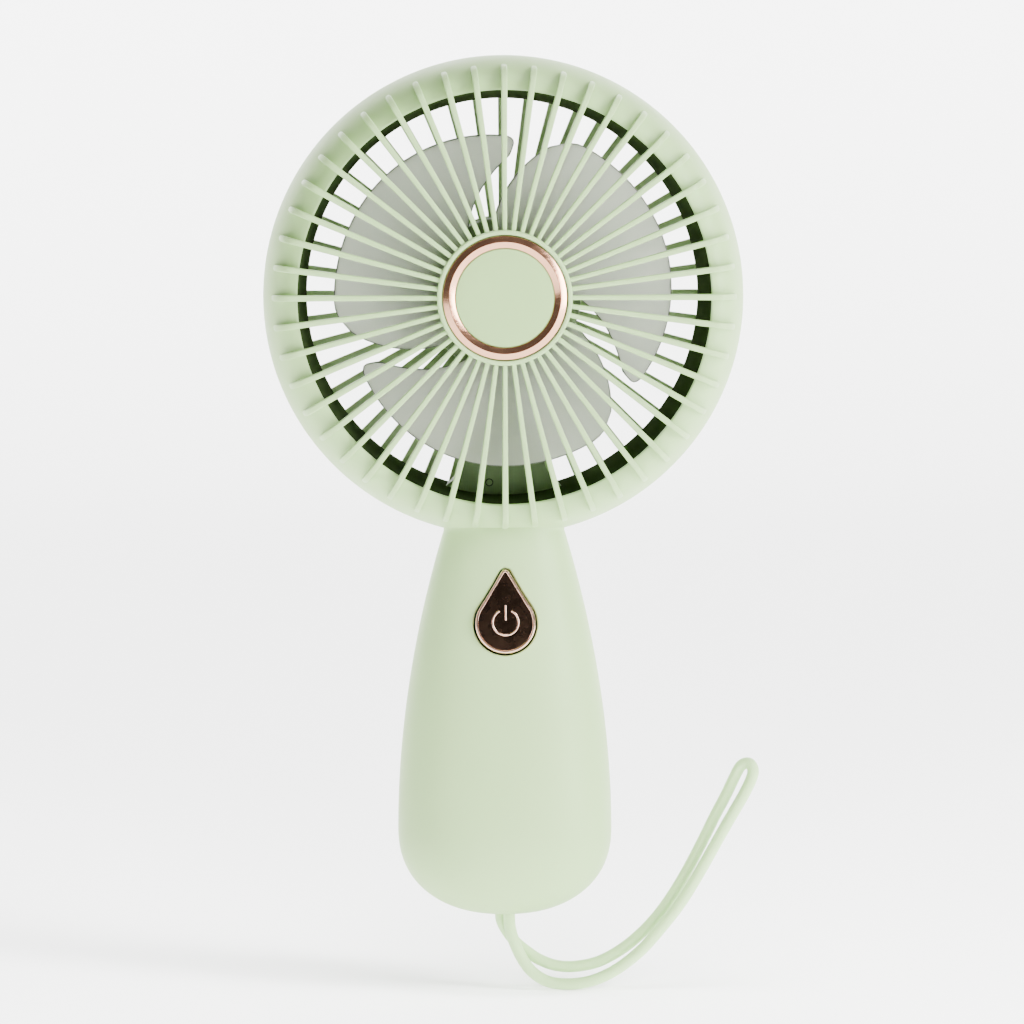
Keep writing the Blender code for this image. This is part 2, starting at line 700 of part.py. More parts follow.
def trailing_angle(radius):
    """Sweep of the blade's broad edge, in degrees after the tip."""
    inward = (BLADE_R - radius) / (BLADE_R - IMPELLER_HUB_R)
    return 101.0 + 34.5 * max(inward, 0) ** 0.85


def blade_reach(share):
    """Outer radius across the blade, from the hooked tip (0) to the broad corner (1)."""
    swell = BLADE_TIP_R + (BLADE_R - BLADE_TIP_R) * math.sin(min(share / 0.6, 1) * math.pi / 2)
    tip = 0.035
    corner = 0.05
    if share < tip:
        return swell - 2.0 * (1 - math.sqrt(max(1 - (1 - share / tip) ** 2, 0)))
    if share > 1 - corner:
        return swell - 3.0 * (1 - math.sqrt(max(1 - ((share - 1 + corner) / corner) ** 2, 0)))
    return swell


BLADE_SHARES = (0, 0.01, 0.035, 0.15, 0.32, 0.5, 0.72, 0.95, 0.985, 1)
BLADE_RINGS = 4


def blade(degrees):
    """One swept blade: a pitched plate of even thickness that starts inside the hub's wall."""
    root = IMPELLER_HUB_R - IMPELLER_WALL / 2
    bm = bmesh.new()
    sides = []
    for half in (-BLADE_THICKNESS / 2, BLADE_THICKNESS / 2):
        grid = []
        for share in BLADE_SHARES:
            reach = blade_reach(share)
            row = []
            for k in range(BLADE_RINGS + 1):
                radius = root + (reach - root) * k / BLADE_RINGS
                first = leading_angle(radius)
                sweep = first + (trailing_angle(radius) - first) * share
                x, y = polar(radius, degrees + sweep)
                row.append(bm.verts.new((x, y, BLADE_REAR + (BLADE_FRONT - BLADE_REAR) * share + half)))
            grid.append(row)
        sides.append(grid)
    rear, front = sides
    last = len(BLADE_SHARES) - 1
    for i in range(last):
        for k in range(BLADE_RINGS):
            for grid in sides:
                bm.faces.new((grid[i][k], grid[i + 1][k], grid[i + 1][k + 1], grid[i][k + 1]))
        for k in (0, BLADE_RINGS):
            bm.faces.new((rear[i][k], rear[i + 1][k], front[i + 1][k], front[i][k]))
    for k in range(BLADE_RINGS):
        for i in (0, last):
            bm.faces.new((rear[i][k], rear[i][k + 1], front[i][k + 1], front[i][k]))
    return make_object("blade", bm)


def impeller(head):
    """Hub cup with a central boss and three swept blades."""
    inner = IMPELLER_HUB_R - IMPELLER_WALL
    plate = IMPELLER_HUB_FRONT - IMPELLER_WALL
    hole = SHAFT_R + GAP
    profile = ((0, IMPELLER_HUB_FRONT), (IMPELLER_HUB_R - 0.8, IMPELLER_HUB_FRONT),
               (IMPELLER_HUB_R, IMPELLER_HUB_FRONT - 0.8), (IMPELLER_HUB_R, IMPELLER_HUB_REAR),
               (inner, IMPELLER_HUB_REAR), (inner, plate - 0.4), (3.2, plate - 0.4),
               (3.2, IMPELLER_HUB_REAR), (hole, IMPELLER_HUB_REAR), (hole, plate), (0, plate))
    fan = turned("impeller", profile, 36)
    for k in range(BLADE_COUNT):
        join(fan, blade(BLADE_ANGLE + k * 360 / BLADE_COUNT))
    return finish(weld(fan), FROSTED, head)


# Handle -------------------------------------------------------------------------------------------

BOTTOM_ANGLES = (26, 40, 54, 67, 79)
UPPER_SHARES = (0, 0.09, 0.21, 0.34, 0.47, 0.6, 0.73, 0.85, 1)   # from the belly to inside the ring


def stations():
    """Heights at which the handle's sections are drawn."""
    low = [BELLY_HEIGHT * (1 - math.cos(math.radians(a)) ** (2 / BOTTOM_POWER)) for a in BOTTOM_ANGLES]
    rise = RING_BOTTOM + INTO_RING - BELLY_HEIGHT
    return [0.0, *low, *(BELLY_HEIGHT + rise * share for share in UPPER_SHARES)]


def half_section(h, side, inset, edge, count):
    """Half an inset section at a height: side is -1 in front, 1 behind; edge is where it starts in y."""
    wide = half_width(h) - inset
    deep = half_depth(h) - inset
    points = []
    for i in range(count + 1):
        t = math.pi * i / count
        x = math.copysign(abs(math.cos(t)) ** (2 / SECTION_POWER), math.cos(t)) * wide
        y = side * max(math.sin(t), 0) ** (2 / SECTION_POWER) * deep
        points.append((x, y, height(h)))
    if edge == side * SEAM:
        points[0] = (wide, edge, height(h))
        points[-1] = (-wide, edge, height(h))
        return points
    return [(wide, edge, height(h)), *points, (-wide, edge, height(h))]


def half_solid(name, side):
    return lofted(name, [half_section(h, side, 0, side * SEAM, 14) for h in stations()])


def half_cavity(side, bosses):
    """The hollow of one handle half, less the bosses and shelves that stand in it."""
    heights = [FLOOR_THICKNESS, *[h for h in stations() if h > FLOOR_THICKNESS + 1]]
    hollow = lofted("cavity", [half_section(h, side, HANDLE_WALL, -side * 2.0, 10) for h in heights])
    for boss in bosses:
        cut(hollow, boss)
    return hollow


def head_envelope(offset):
    """The ring's outer form, grown by an offset, solid to its axis, in world position."""
    front = [(r + offset, w) for r, w in front_skin(0, 7)]
    rear = [(r + offset, w) for r, w in rear_skin(0, 7)]
    profile = [(0, RING_FRONT), *front[::-1], *rear[1:], (0, -RING_REAR)]
    return turn(turned("envelope", profile), HEAD_MATRIX)


def y_rod(radius, near, far, x, h, segments=12):
    """A rod along world Y."""
    piece = rod("rod", radius, near, far, (x, -height(h)), segments)
    return about_y(piece)


def shell_screw_places():
    """x, height and counterbore floor of the four screws that close the handle."""
    return [(side * x, h, floor) for x, h, floor in SHELL_SCREWS for side in (-1, 1)]


def button_rod(radius, low, high, x, v, segments=12):
    """A rod along the button's axis, in world position."""
    return turn(rod("rod", radius, low, high, (x, v), segments), BUTTON_MATRIX)


def drop_outline(grow=0.0):
    """Water-drop outline of the button, grown by a margin."""
    radius = BUTTON_R + grow
    low = BUTTON_R - BUTTON_LENGTH / 2
    tip = BUTTON_LENGTH / 2 - BUTTON_TIP_R
    start = math.radians(38)
    body = [(radius * math.cos(a), low + radius * math.sin(a))
            for a in (start - (math.pi + 2 * start) * i / 18 for i in range(19))]
    point = [((BUTTON_TIP_R + grow) * math.cos(a), tip + (BUTTON_TIP_R + grow) * math.sin(a))
             for a in (math.radians(156 - 132 * i / 6) for i in range(7))]
    bend = (0.455 * BUTTON_R + grow * 0.9, 0.27 * BUTTON_LENGTH)
    left = side_curve((-body[-1][0], body[-1][1]), bend, (-point[0][0], point[0][1]))
    right = left[::-1]
    return body + [(-x, y) for x, y in left] + point + right


def side_curve(start, bend, end, steps=4):
    """Inner points of the quadratic curve that forms the drop's side."""
    points = []
    for i in range(1, steps):
        t = i / steps
        points.append(tuple((1 - t) ** 2 * a + 2 * t * (1 - t) * b + t ** 2 * c
                            for a, b, c in zip(start, bend, end)))
    return points


def handle_front():
    """Front half of the handle with the button's hole, screw bosses and board posts."""
    bosses = [y_rod(BOSS_R, -30, -SEAM, x, h) for x, h, _ in shell_screw_places()]
    for x in (-PCB_SCREW[0], PCB_SCREW[0]):
        bosses.append(button_rod(2.0, -PCB_DEPTH + GAP, 10, x, PCB_SCREW[1]))
    shell = half_solid("handle_front", -1)
    cut(shell, half_cavity(-1, bosses))
    cut(shell, head_envelope(GAP))
    cut(shell, turn(prism("hole", drop_outline(GAP), -5, 8), BUTTON_MATRIX))
    for x, h, _ in shell_screw_places():
        cut(shell, y_rod(SCREW_R + SCREW_CLEARANCE, -5, 2, x, h))
    for x in (-PCB_SCREW[0], PCB_SCREW[0]):
        cut(shell, button_rod(SCREW_R + SCREW_CLEARANCE, -PCB_DEPTH - 1, -4.5, x, PCB_SCREW[1]))
    cut(shell, rod("slot", ANCHOR_NECK_R + GAP, height(-2), height(FLOOR_THICKNESS + 1), segments=24))
    return finish(weld(shell), PALE_GREEN)


def ring_half():
    """Rear skin of the head with three screw posts, in the head's frame."""
    outer = rear_skin(0, 5)
    outer[0] = (RING_R, -SEAM)
    under = rear_skin(RING_WALL, 3)
    under[0] = (SKIN_INNER_R, -SEAM)
    ring = turned("rear_body", outer + under[::-1])
    for degrees in HEAD_SCREW_ANGLES:
        centre = polar(HEAD_SCREW_R, degrees)
        join(ring, rod("post", HEAD_POST_R, -RING_REAR * 0.8, -FLANGE_HALF - GAP, centre, 12))
        cut(ring, rod("bore", SCREW_HEAD_R + SCREW_CLEARANCE, -RING_REAR - 1, HEAD_SCREW_SEAT, centre, 12))
        cut(ring, rod("hole", SCREW_R + SCREW_CLEARANCE, -RING_REAR, 1, centre, 12))
    return ring


def usb_shelf():
    """Ledge and two hooks that hold the charging board."""
    board = USB_HEIGHT - USB_THICKNESS / 2 - GAP - PCB_THICKNESS
    wide = USB_WIDTH / 2 + 0.6
    ledge = box("ledge", (-wide - 2, wide + 2), (8, 20), (height(board - GAP - 1.3), height(board - GAP)))
    hooks = [box("hook", (side * wide, side * (wide + 2)) if side > 0 else (-wide - 2, -wide),
                 (9, 20), (height(board + PCB_THICKNESS + GAP), height(board + PCB_THICKNESS + GAP + 1.2)))
             for side in (-1, 1)]
    return [ledge, *hooks]


def rear_body():
    """Rear half of the handle and the head's rear skin, one moulding."""
    bosses = [y_rod(BOSS_R, SEAM, 30, x, h) for x, h, _ in shell_screw_places()]
    bosses += [y_rod(2.3, CRADLE_EAR_Y + CRADLE_EAR + GAP, 30, x, CRADLE_EAR_HEIGHT)
               for x in (-CRADLE_EAR_X, CRADLE_EAR_X)]
    bosses += usb_shelf()
    shell = half_solid("rear_handle", 1)
    cut(shell, half_cavity(1, bosses))
    cut(shell, head_envelope(-RING_WALL / 2))
    for x, h, floor in shell_screw_places():
        cut(shell, y_rod(SCREW_HEAD_R + SCREW_CLEARANCE, floor, 30, x, h))
        cut(shell, y_rod(SCREW_R + SCREW_CLEARANCE, -1, floor + 1, x, h))
    for x in (-CRADLE_EAR_X, CRADLE_EAR_X):
        cut(shell, y_rod(SCREW_R + SCREW_CLEARANCE, 0, CRADLE_EAR_Y + 7, x, CRADLE_EAR_HEIGHT))
    cut(shell, rod("slot", ANCHOR_NECK_R + GAP, height(-2), height(FLOOR_THICKNESS + 1), segments=24))
    port = prism("port", slot_outline(USB_WIDTH + 2 * GAP, USB_THICKNESS + 2 * GAP), 5, 30)
    cut(shell, turn(about_y(port), Matrix.Translation((0, 0, height(USB_HEIGHT) * MM))))
    cut(shell, y_rod(LENS_R + GAP, 0, 30, 0, LENS_HEIGHT))
    body = turn(ring_half(), HEAD_MATRIX)
    join(body, shell)
    hole = box("hole", (-WIRE_HOLE[0], WIRE_HOLE[0]), (-RING_R - 2, -SKIN_INNER_R + 3), WIRE_HOLE[1:])
    cut(body, turn(hole, HEAD_MATRIX))
    return finish(weld(body), PALE_GREEN)


# Button, switch and boards ------------------------------------------------------------------------

SWITCH_BOTTOM = -PCB_DEPTH + GAP
SWITCH_TOP = SWITCH_BOTTOM + SWITCH_HEIGHT


def button_cap(frame_empty):
    """Drop-shaped cap with a bevelled rim, a flange behind the shell and a stem."""
    sections = ((0, FLANGE_BOTTOM + GAP), (0, BUTTON_PROUD - 0.5), (-BUTTON_BEVEL, BUTTON_PROUD),
                (-BUTTON_BEVEL - 0.2, BUTTON_PROUD - 0.25))
    cap = lofted("button_cap", [[(x, y, w) for x, y in drop_outline(grow)] for grow, w in sections])
    join(cap, prism("flange", drop_outline(BUTTON_FLANGE), FLANGE_BOTTOM, FLANGE_TOP))
    join(cap, rod("stem", 2.0, STEM_BOTTOM, FLANGE_BOTTOM + 0.2))
    return finish(weld(cap), BROWN_GOLD, frame_empty)


def switch_body(frame_empty):
    half = SWITCH_SIZE / 2
    body = box("switch_body", (-half, half), (-half, half), (SWITCH_BOTTOM, SWITCH_TOP))
    cut(body, rod("hole", PLUNGER_R + RUNNING, SWITCH_BOTTOM + 0.4, SWITCH_TOP + 1))
    return finish(weld(body), BLACK, frame_empty)


def switch_plunger(frame_empty):
    low = SWITCH_BOTTOM + 0.4 + BUTTON_TRAVEL + 0.3
    return finish(rod("switch_plunger", PLUNGER_R, low, STEM_BOTTOM - GAP), WHITE, frame_empty)


def main_pcb(frame_empty):
    board = box("main_pcb", (-PCB_HALF_WIDTH, PCB_HALF_WIDTH), (-PCB_DOWN, PCB_UP),
                (-PCB_DEPTH - PCB_THICKNESS, -PCB_DEPTH))
    for x in (-PCB_SCREW[0], PCB_SCREW[0]):
        cut(board, rod("hole", SCREW_R + SCREW_CLEARANCE, -PCB_DEPTH - 3, 0, (x, PCB_SCREW[1]), 12))
    return finish(weld(board), BOARD_GREEN, frame_empty)


def charge_led(frame_empty):
    back = -PCB_DEPTH - PCB_THICKNESS - GAP
    return finish(box("charge_led", (-0.8, 0.8), (-1.6, 0.0), (back - 0.8, back)), WHITE, frame_empty)


def charge_lens():
    start = button_point(0, 0, -PCB_DEPTH - PCB_THICKNESS - GAP - 0.8).y + 0.8
    lens = y_rod(LENS_R, start, half_depth(LENS_HEIGHT) - 0.2, 0, LENS_HEIGHT, 16)
    lens.name = "charge_lens"
    return finish(lens, CLEAR)


def usb_board():
    top = USB_HEIGHT - USB_THICKNESS / 2 - GAP
    board = box("usb_board", (-6.6, 6.6), (1.6, 11.0), (height(top - PCB_THICKNESS), height(top)))
    return finish(board, BOARD_GREEN)


def usb_mouth():
    return half_depth(USB_HEIGHT) - 1.4


def usb_c_socket():
    """Hollow steel shell, open to the rear."""
    mouth = usb_mouth()
    socket = prism("usb_c_socket", slot_outline(USB_WIDTH, USB_THICKNESS), mouth - USB_LENGTH, mouth)
    inside = slot_outline(USB_WIDTH - 2 * USB_SHELL, USB_THICKNESS - 2 * USB_SHELL)
    cut(socket, prism("inside", inside, mouth - USB_LENGTH + 0.8, mouth + 1))
    turn(about_y(socket), Matrix.Translation((0, 0, height(USB_HEIGHT) * MM)))
    return finish(weld(socket), STEEL)


def usb_tongue():
    mouth = usb_mouth()
    tongue = box("usb_tongue", (-3.3, 3.3), (mouth - USB_LENGTH + 0.8 + GAP, mouth - 0.9),
                 (height(USB_HEIGHT - 0.35), height(USB_HEIGHT + 0.35)))
    return finish(tongue, BLACK)


# Battery ------------------------------------------------------------------------------------------

def at_cell(item):
    return turn(item, Matrix.Translation((0, CELL_Y * MM, height(CELL_BOTTOM) * MM)))


def battery_cell():
    shoulder = CELL_LENGTH - 0.6
    profile = ((0, 0), (CELL_R - 0.4, 0), (CELL_R, 0.4), (CELL_R, shoulder), (CELL_R - 0.6, CELL_LENGTH),
               (3.2, CELL_LENGTH), (3.2, CELL_LENGTH + 0.6), (0, CELL_LENGTH + 0.6))
    return finish(at_cell(turned("battery_cell", profile, 24)), CELL_BLUE)


def battery_tab_pos():
    low = CELL_LENGTH + 0.6 + GAP
    return finish(at_cell(box("battery_tab_pos", (-2.5, 6.0), (-2.5, 1.5), (low, low + 0.25))), STEEL)


def battery_tab_neg():
    tab = box("battery_tab_neg", (-2.5, 2.5), (-CELL_R - 0.6, 3), (-GAP - 0.25, -GAP))
    return finish(at_cell(tab), STEEL)


def battery_cradle():
    """Half tube with a floor and two screw ears."""
    inner = CELL_R + GAP
    outer = inner + CRADLE_WALL
    floor = -GAP * 2 - 0.25
    cradle = rod("battery_cradle", outer, floor - 1.0, floor + CRADLE_LENGTH, segments=32)
    cut(cradle, rod("bore", inner, floor, CRADLE_LENGTH + 5, segments=32))
    cut(cradle, box("front", (-20, 20), (-20, 0), (floor, CRADLE_LENGTH + 5)))
    ear_low = CRADLE_EAR_HEIGHT - CELL_BOTTOM - 4
    ear_y = CRADLE_EAR_Y - CELL_Y
    for side in (-1, 1):
        xs = sorted((side * (inner + 0.5), side * (CRADLE_EAR_X + 2.8)))
        join(cradle, box("ear", xs, (ear_y, ear_y + CRADLE_EAR), (ear_low, ear_low + 8)))
        hole = rod("hole", SCREW_R + SCREW_CLEARANCE, ear_y - 2, ear_y + 4,
                   (side * CRADLE_EAR_X, -(ear_low + 4)), 12)
        cut(cradle, about_y(hole))
    return finish(weld(at_cell(cradle)), BLACK)


# Screws -------------------------------------------------------------------------------------------

def screw(name, shank, parent=None):
    """Socket-head screw along z: the head above z = 0, a shank below, a hexagonal recess."""
    profile = ((0, -shank), (SCREW_R, -shank), (SCREW_R, 0), (SCREW_HEAD_R, 0),
               (SCREW_HEAD_R, SCREW_HEAD_HEIGHT), (0, SCREW_HEAD_HEIGHT))
    item = turned(name, profile, 12)
    cut(item, rod("recess", 0.75, SCREW_HEAD_HEIGHT * 0.45, SCREW_HEAD_HEIGHT + 1, segments=6))
    return finish(weld(item), STEEL, parent)


def place_screw(name, position, direction, shank, parent=None):
    """A screw whose head's underside is at a position and whose head points along a direction."""
    item = screw(name, shank, parent)
    item.location = Vector(position) * MM
    item.rotation_euler = Vector(direction).to_track_quat("Z", "Y").to_euler()
    return item


def shell_screws():
    for k, (x, h, floor) in enumerate(shell_screw_places(), 1):
        place_screw(f"shell_screw_{k}", (x, floor + GAP, height(h)), (0, 1, 0), floor + 4.0)


def head_screws(head):
    for k, degrees in enumerate(HEAD_SCREW_ANGLES, 1):
        x, y = polar(HEAD_SCREW_R, degrees)
        place_screw(f"head_screw_{k}", (x, y, HEAD_SCREW_SEAT - GAP), (0, 0, -1), 10.5, head)


def motor_screws(head):
    for k, x in enumerate((-MOTOR_SCREW_R, MOTOR_SCREW_R), 1):
        place_screw(f"motor_screw_{k}", (x, 0, POD_FRONT + GAP), (0, 0, 1), 2.8, head)


def pcb_screws(frame_empty):
    for k, x in enumerate((-PCB_SCREW[0], PCB_SCREW[0]), 1):
        seat = -PCB_DEPTH - PCB_THICKNESS - GAP
        place_screw(f"pcb_screw_{k}", (x, PCB_SCREW[1], seat), (0, 0, -1), 5.5, frame_empty)


def cradle_screws():
    for k, x in enumerate((-CRADLE_EAR_X, CRADLE_EAR_X), 1):
        head = (x, CRADLE_EAR_Y - GAP, height(CRADLE_EAR_HEIGHT))
        place_screw(f"cradle_screw_{k}", head, (0, -1, 0), 7.0)


# Wires and lanyard --------------------------------------------------------------------------------

def motor_wires():
    """Two leads from the motor's tabs down the strut and into the handle."""
    groove = DUCT_REAR + 1.4
    rim = -DUCT_REAR_R
    board = button_point(0, 12.5, -PCB_DEPTH - PCB_THICKNESS - GAP - WIRE_R)
    for name, side, look in (("motor_wire_pos", 1, RED), ("motor_wire_neg", -1, BLACK)):
        head_route = ((3.1, -3.9, groove), (2.0, -8.0, groove), (1.0, -14.0, groove),
                      (0.9, rim * 0.53, groove), (0.9, rim * 0.8, groove), (0.9, rim - 0.3, groove),
                      (0.95, rim - 3.4, -9.6), (1.2, rim - 5.8, -6.6), (1.5, rim - 9.0, -4.7))
        points = [head_point(side * x, v, w) for x, v, w in head_route]
        points += [Vector((side * 1.8, 4.6, board.z + 4.6)), Vector((side * 2.0, 3.0, board.z + 2.0)),
                   Vector((side * 2.0, board.y + 0.4, board.z))]
        tube(name, smooth_curve(points, 2), WIRE_R, look)


def battery_wires():
    """Leads from the cell's tabs to the main board."""
    top = height(CELL_BOTTOM + CELL_LENGTH) + 1.8
    low = button_point(0, -7.0, -PCB_DEPTH - PCB_THICKNESS - GAP - WIRE_R)
    pos = ((5.0, -1.0, top + 0.3), (4.9, -1.6, top + 1.6), (4.4, -2.2, low.z - 1.4),
           (3.9, low.y + 0.1, low.z + 0.5))
    tube("battery_wire_pos", smooth_curve(pos, 2), WIRE_R, RED)
    front = button_point(0, -6.5, -PCB_DEPTH + GAP + WIRE_R)
    bottom = height(CELL_BOTTOM) - GAP
    side = CELL_Y - CELL_R
    neg = ((0.0, side - 1.5, bottom), (-0.6, side - 2.4, bottom + 3.5), (-2.0, side - 2.6, bottom + 14),
           (-3.0, side - 2.6, bottom + 28), (-3.0, side - 2.3, bottom + 42),
           (-3.0, side - 1.0, bottom + 49),
           (-3.0, front.y - 0.9, front.z - 2.2), (-3.0, front.y, front.z + 0.6))
    tube("battery_wire_neg", smooth_curve(neg, 3), WIRE_R, BLACK)


def lanyard_anchor():
    """T-shaped plug held between the handle halves, with a socket for each end of the loop."""
    plate_low = height(FLOOR_THICKNESS) + GAP
    anchor = rod("lanyard_anchor", ANCHOR_PLATE_R, plate_low, plate_low + ANCHOR_PLATE, segments=24)
    join(anchor, rod("neck", ANCHOR_NECK_R, height(0.6), plate_low + 0.5, segments=24))
    for centre in (LANYARD_START, LANYARD_END):
        cut(anchor, rod("socket", LANYARD_R + GAP, height(-1), height(SOCKET_DEPTH + GAP), centre, 12))
    return finish(weld(anchor), PALE_GREEN)


def lanyard_loop():
    """Moulded silicone loop, one tube from one socket to the other."""
    route = [(x, y, height(h)) for x, y, h in LANYARD_ROUTE]
    start = (*LANYARD_START, height(SOCKET_DEPTH))
    end = (*LANYARD_END, height(SOCKET_DEPTH))
    points = smooth_curve([start, *route, end], LANYARD_STEPS)
    return tube("lanyard_loop", points, LANYARD_R, PALE_GREEN)


def build():
    clear_scene()
    head = frame("head_frame", HEAD_MATRIX)
    spinner = frame("fan_axis", HEAD_MATRIX)
    fixed = frame("button_frame", BUTTON_MATRIX)
    pressed = frame("button_axis", BUTTON_MATRIX)
    for piece in (front_grille, rear_grille, badge_ring, badge_disc, motor_carrier, motor_can,
                  motor_end_cap, motor_bush, motor_magnet, head_screws, motor_screws):
        piece(head)
    for piece in (impeller, motor_shaft, rotor_core):
        piece(spinner)
    for piece in (switch_body, main_pcb, charge_led, pcb_screws):
        piece(fixed)
    for piece in (button_cap, switch_plunger):
        piece(pressed)
    for piece in (handle_front, rear_body, charge_lens, usb_board, usb_c_socket, usb_tongue,
                  battery_cell, battery_tab_pos, battery_tab_neg, battery_cradle, shell_screws,
                  cradle_screws, motor_wires, battery_wires, lanyard_anchor, lanyard_loop):
        piece()


build()
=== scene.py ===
"""Looks of the handheld fan: fine shells, ribs, blades, metal trim and materials around the CAD frame."""

import math

import bmesh
import bpy
from mathutils import Matrix, Vector


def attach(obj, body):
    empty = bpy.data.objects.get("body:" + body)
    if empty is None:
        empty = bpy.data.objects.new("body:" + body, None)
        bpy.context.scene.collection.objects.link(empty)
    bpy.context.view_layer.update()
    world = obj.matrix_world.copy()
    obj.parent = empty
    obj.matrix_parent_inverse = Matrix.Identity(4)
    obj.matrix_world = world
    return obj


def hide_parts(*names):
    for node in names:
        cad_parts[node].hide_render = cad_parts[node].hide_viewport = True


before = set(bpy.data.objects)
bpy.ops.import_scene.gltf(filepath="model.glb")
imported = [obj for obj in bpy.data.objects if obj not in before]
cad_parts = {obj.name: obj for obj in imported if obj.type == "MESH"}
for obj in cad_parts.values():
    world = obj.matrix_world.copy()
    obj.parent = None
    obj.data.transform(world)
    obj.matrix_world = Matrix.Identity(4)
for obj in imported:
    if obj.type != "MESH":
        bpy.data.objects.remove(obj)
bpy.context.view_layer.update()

MM = 0.001
HUB_Z = 102.7
BOTTOM_Z = -40.0
RING_R = 55.1
RING_FRONT = 13.5
RING_REAR = 15.9
LIP_R = 47.15
REAR_LIP_R = 48.9
RIB_COUNT = 48
ROUND = 192                    # points round the head's circles


# Frames and small tools -----------------------------------------------------------------------------

HEAD = Matrix.Translation((0, 0, HUB_Z * MM)) @ Matrix.Rotation(math.pi / 2, 4, "X")


def height(value):
    return value + BOTTOM_Z


def polar(radius, degrees):
    return radius * math.cos(math.radians(degrees)), radius * math.sin(math.radians(degrees))


def arc(centre, radius, start, end, steps):
    """Points of an arc in degrees, ends included."""
    return [(centre[0] + radius * math.cos(math.radians(start + (end - start) * i / steps)),
             centre[1] + radius * math.sin(math.radians(start + (end - start) * i / steps)))
            for i in range(steps + 1)]


def new_object(name, bm, matrix=None, sharp=35):
    """A smooth-shaded object from a bmesh in millimetres, with an optional matrix in metres."""
    bmesh.ops.recalc_face_normals(bm, faces=bm.faces)
    bmesh.ops.scale(bm, vec=(MM, MM, MM), verts=bm.verts)
    mesh = bpy.data.meshes.new(name)
    bm.to_mesh(mesh)
    bm.free()
    if matrix:
        mesh.transform(matrix)
    mesh.shade_smooth()
    mesh.set_sharp_from_angle(angle=math.radians(sharp))
    item = bpy.data.objects.new(name, mesh)
    bpy.context.collection.objects.link(item)
    return item


def add_loft(bm, loops, caps=True):
    """Adds a skin through closed loops of points; caps fills the first and last."""
    rings = [[bm.verts.new(p) for p in loop] for loop in loops]
    for lower, upper in zip(rings, rings[1:]):
        count = len(lower)
        for i in range(count):
            j = (i + 1) % count
            bm.faces.new((lower[i], lower[j], upper[j], upper[i]))
    if caps:
        bm.faces.new(rings[0])
        bm.faces.new(rings[-1])
    return rings


def add_turned(bm, profile, segments=ROUND, closed=True):
    """Adds a profile of (radius, z) points turned about z. A closed profile makes a ring."""
    loops = [[(*polar(r, 360 * i / segments), z) for i in range(segments)] for r, z in profile]
    rings = add_loft(bm, loops, caps=False)
    if closed:
        for i in range(segments):
            j = (i + 1) % segments
            bm.faces.new((rings[-1][i], rings[-1][j], rings[0][j], rings[0][i]))
    return rings


def turned(name, profile, matrix=HEAD, segments=ROUND, sharp=35):
    bm = bmesh.new()
    if profile[0][0] > 0:
        add_turned(bm, profile, segments)
    else:
        rings = add_turned(bm, profile[1:-1], segments, closed=False)
        for ring, tip in ((rings[0], profile[0]), (rings[-1], profile[-1])):
            middle = bm.verts.new((0, 0, tip[1]))
            for i in range(segments):
                bm.faces.new((ring[i], ring[(i + 1) % segments], middle))
    return new_object(name, bm, matrix, sharp)


def apply_modifiers(item):
    bpy.context.view_layer.update()
    graph = bpy.context.evaluated_depsgraph_get()
    mesh = bpy.data.meshes.new_from_object(item.evaluated_get(graph))
    item.modifiers.clear()
    item.data = mesh
    return item


def bevelled(item, width, segments=2, angle=40):
    """Rounds an object's hard edges by a width in millimetres."""
    modifier = item.modifiers.new("bevel", "BEVEL")
    modifier.width = width * MM
    modifier.segments = segments
    modifier.limit_method = "ANGLE"
    modifier.angle_limit = math.radians(angle)
    modifier.harden_normals = False
    apply_modifiers(item)
    item.data.shade_smooth()
    item.data.set_sharp_from_angle(angle=math.radians(50))
    return item


def cut(item, tool):
    modifier = item.modifiers.new("cut", "BOOLEAN")
    modifier.operation = "DIFFERENCE"
    modifier.solver = "EXACT"
    modifier.object = tool
    apply_modifiers(item)
    bpy.data.objects.remove(tool)
    item.data.shade_smooth()
    item.data.set_sharp_from_angle(angle=math.radians(35))
    return item


def dress(item, material, body, replaced=()):
    """Gives a piece its material and its body, and hides the CAD nodes it stands for."""
    item.data.materials.clear()
    item.data.materials.append(material)
    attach(item, body)
    if replaced:
        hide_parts(*replaced)
    return item


# Materials ------------------------------------------------------------------------------------------

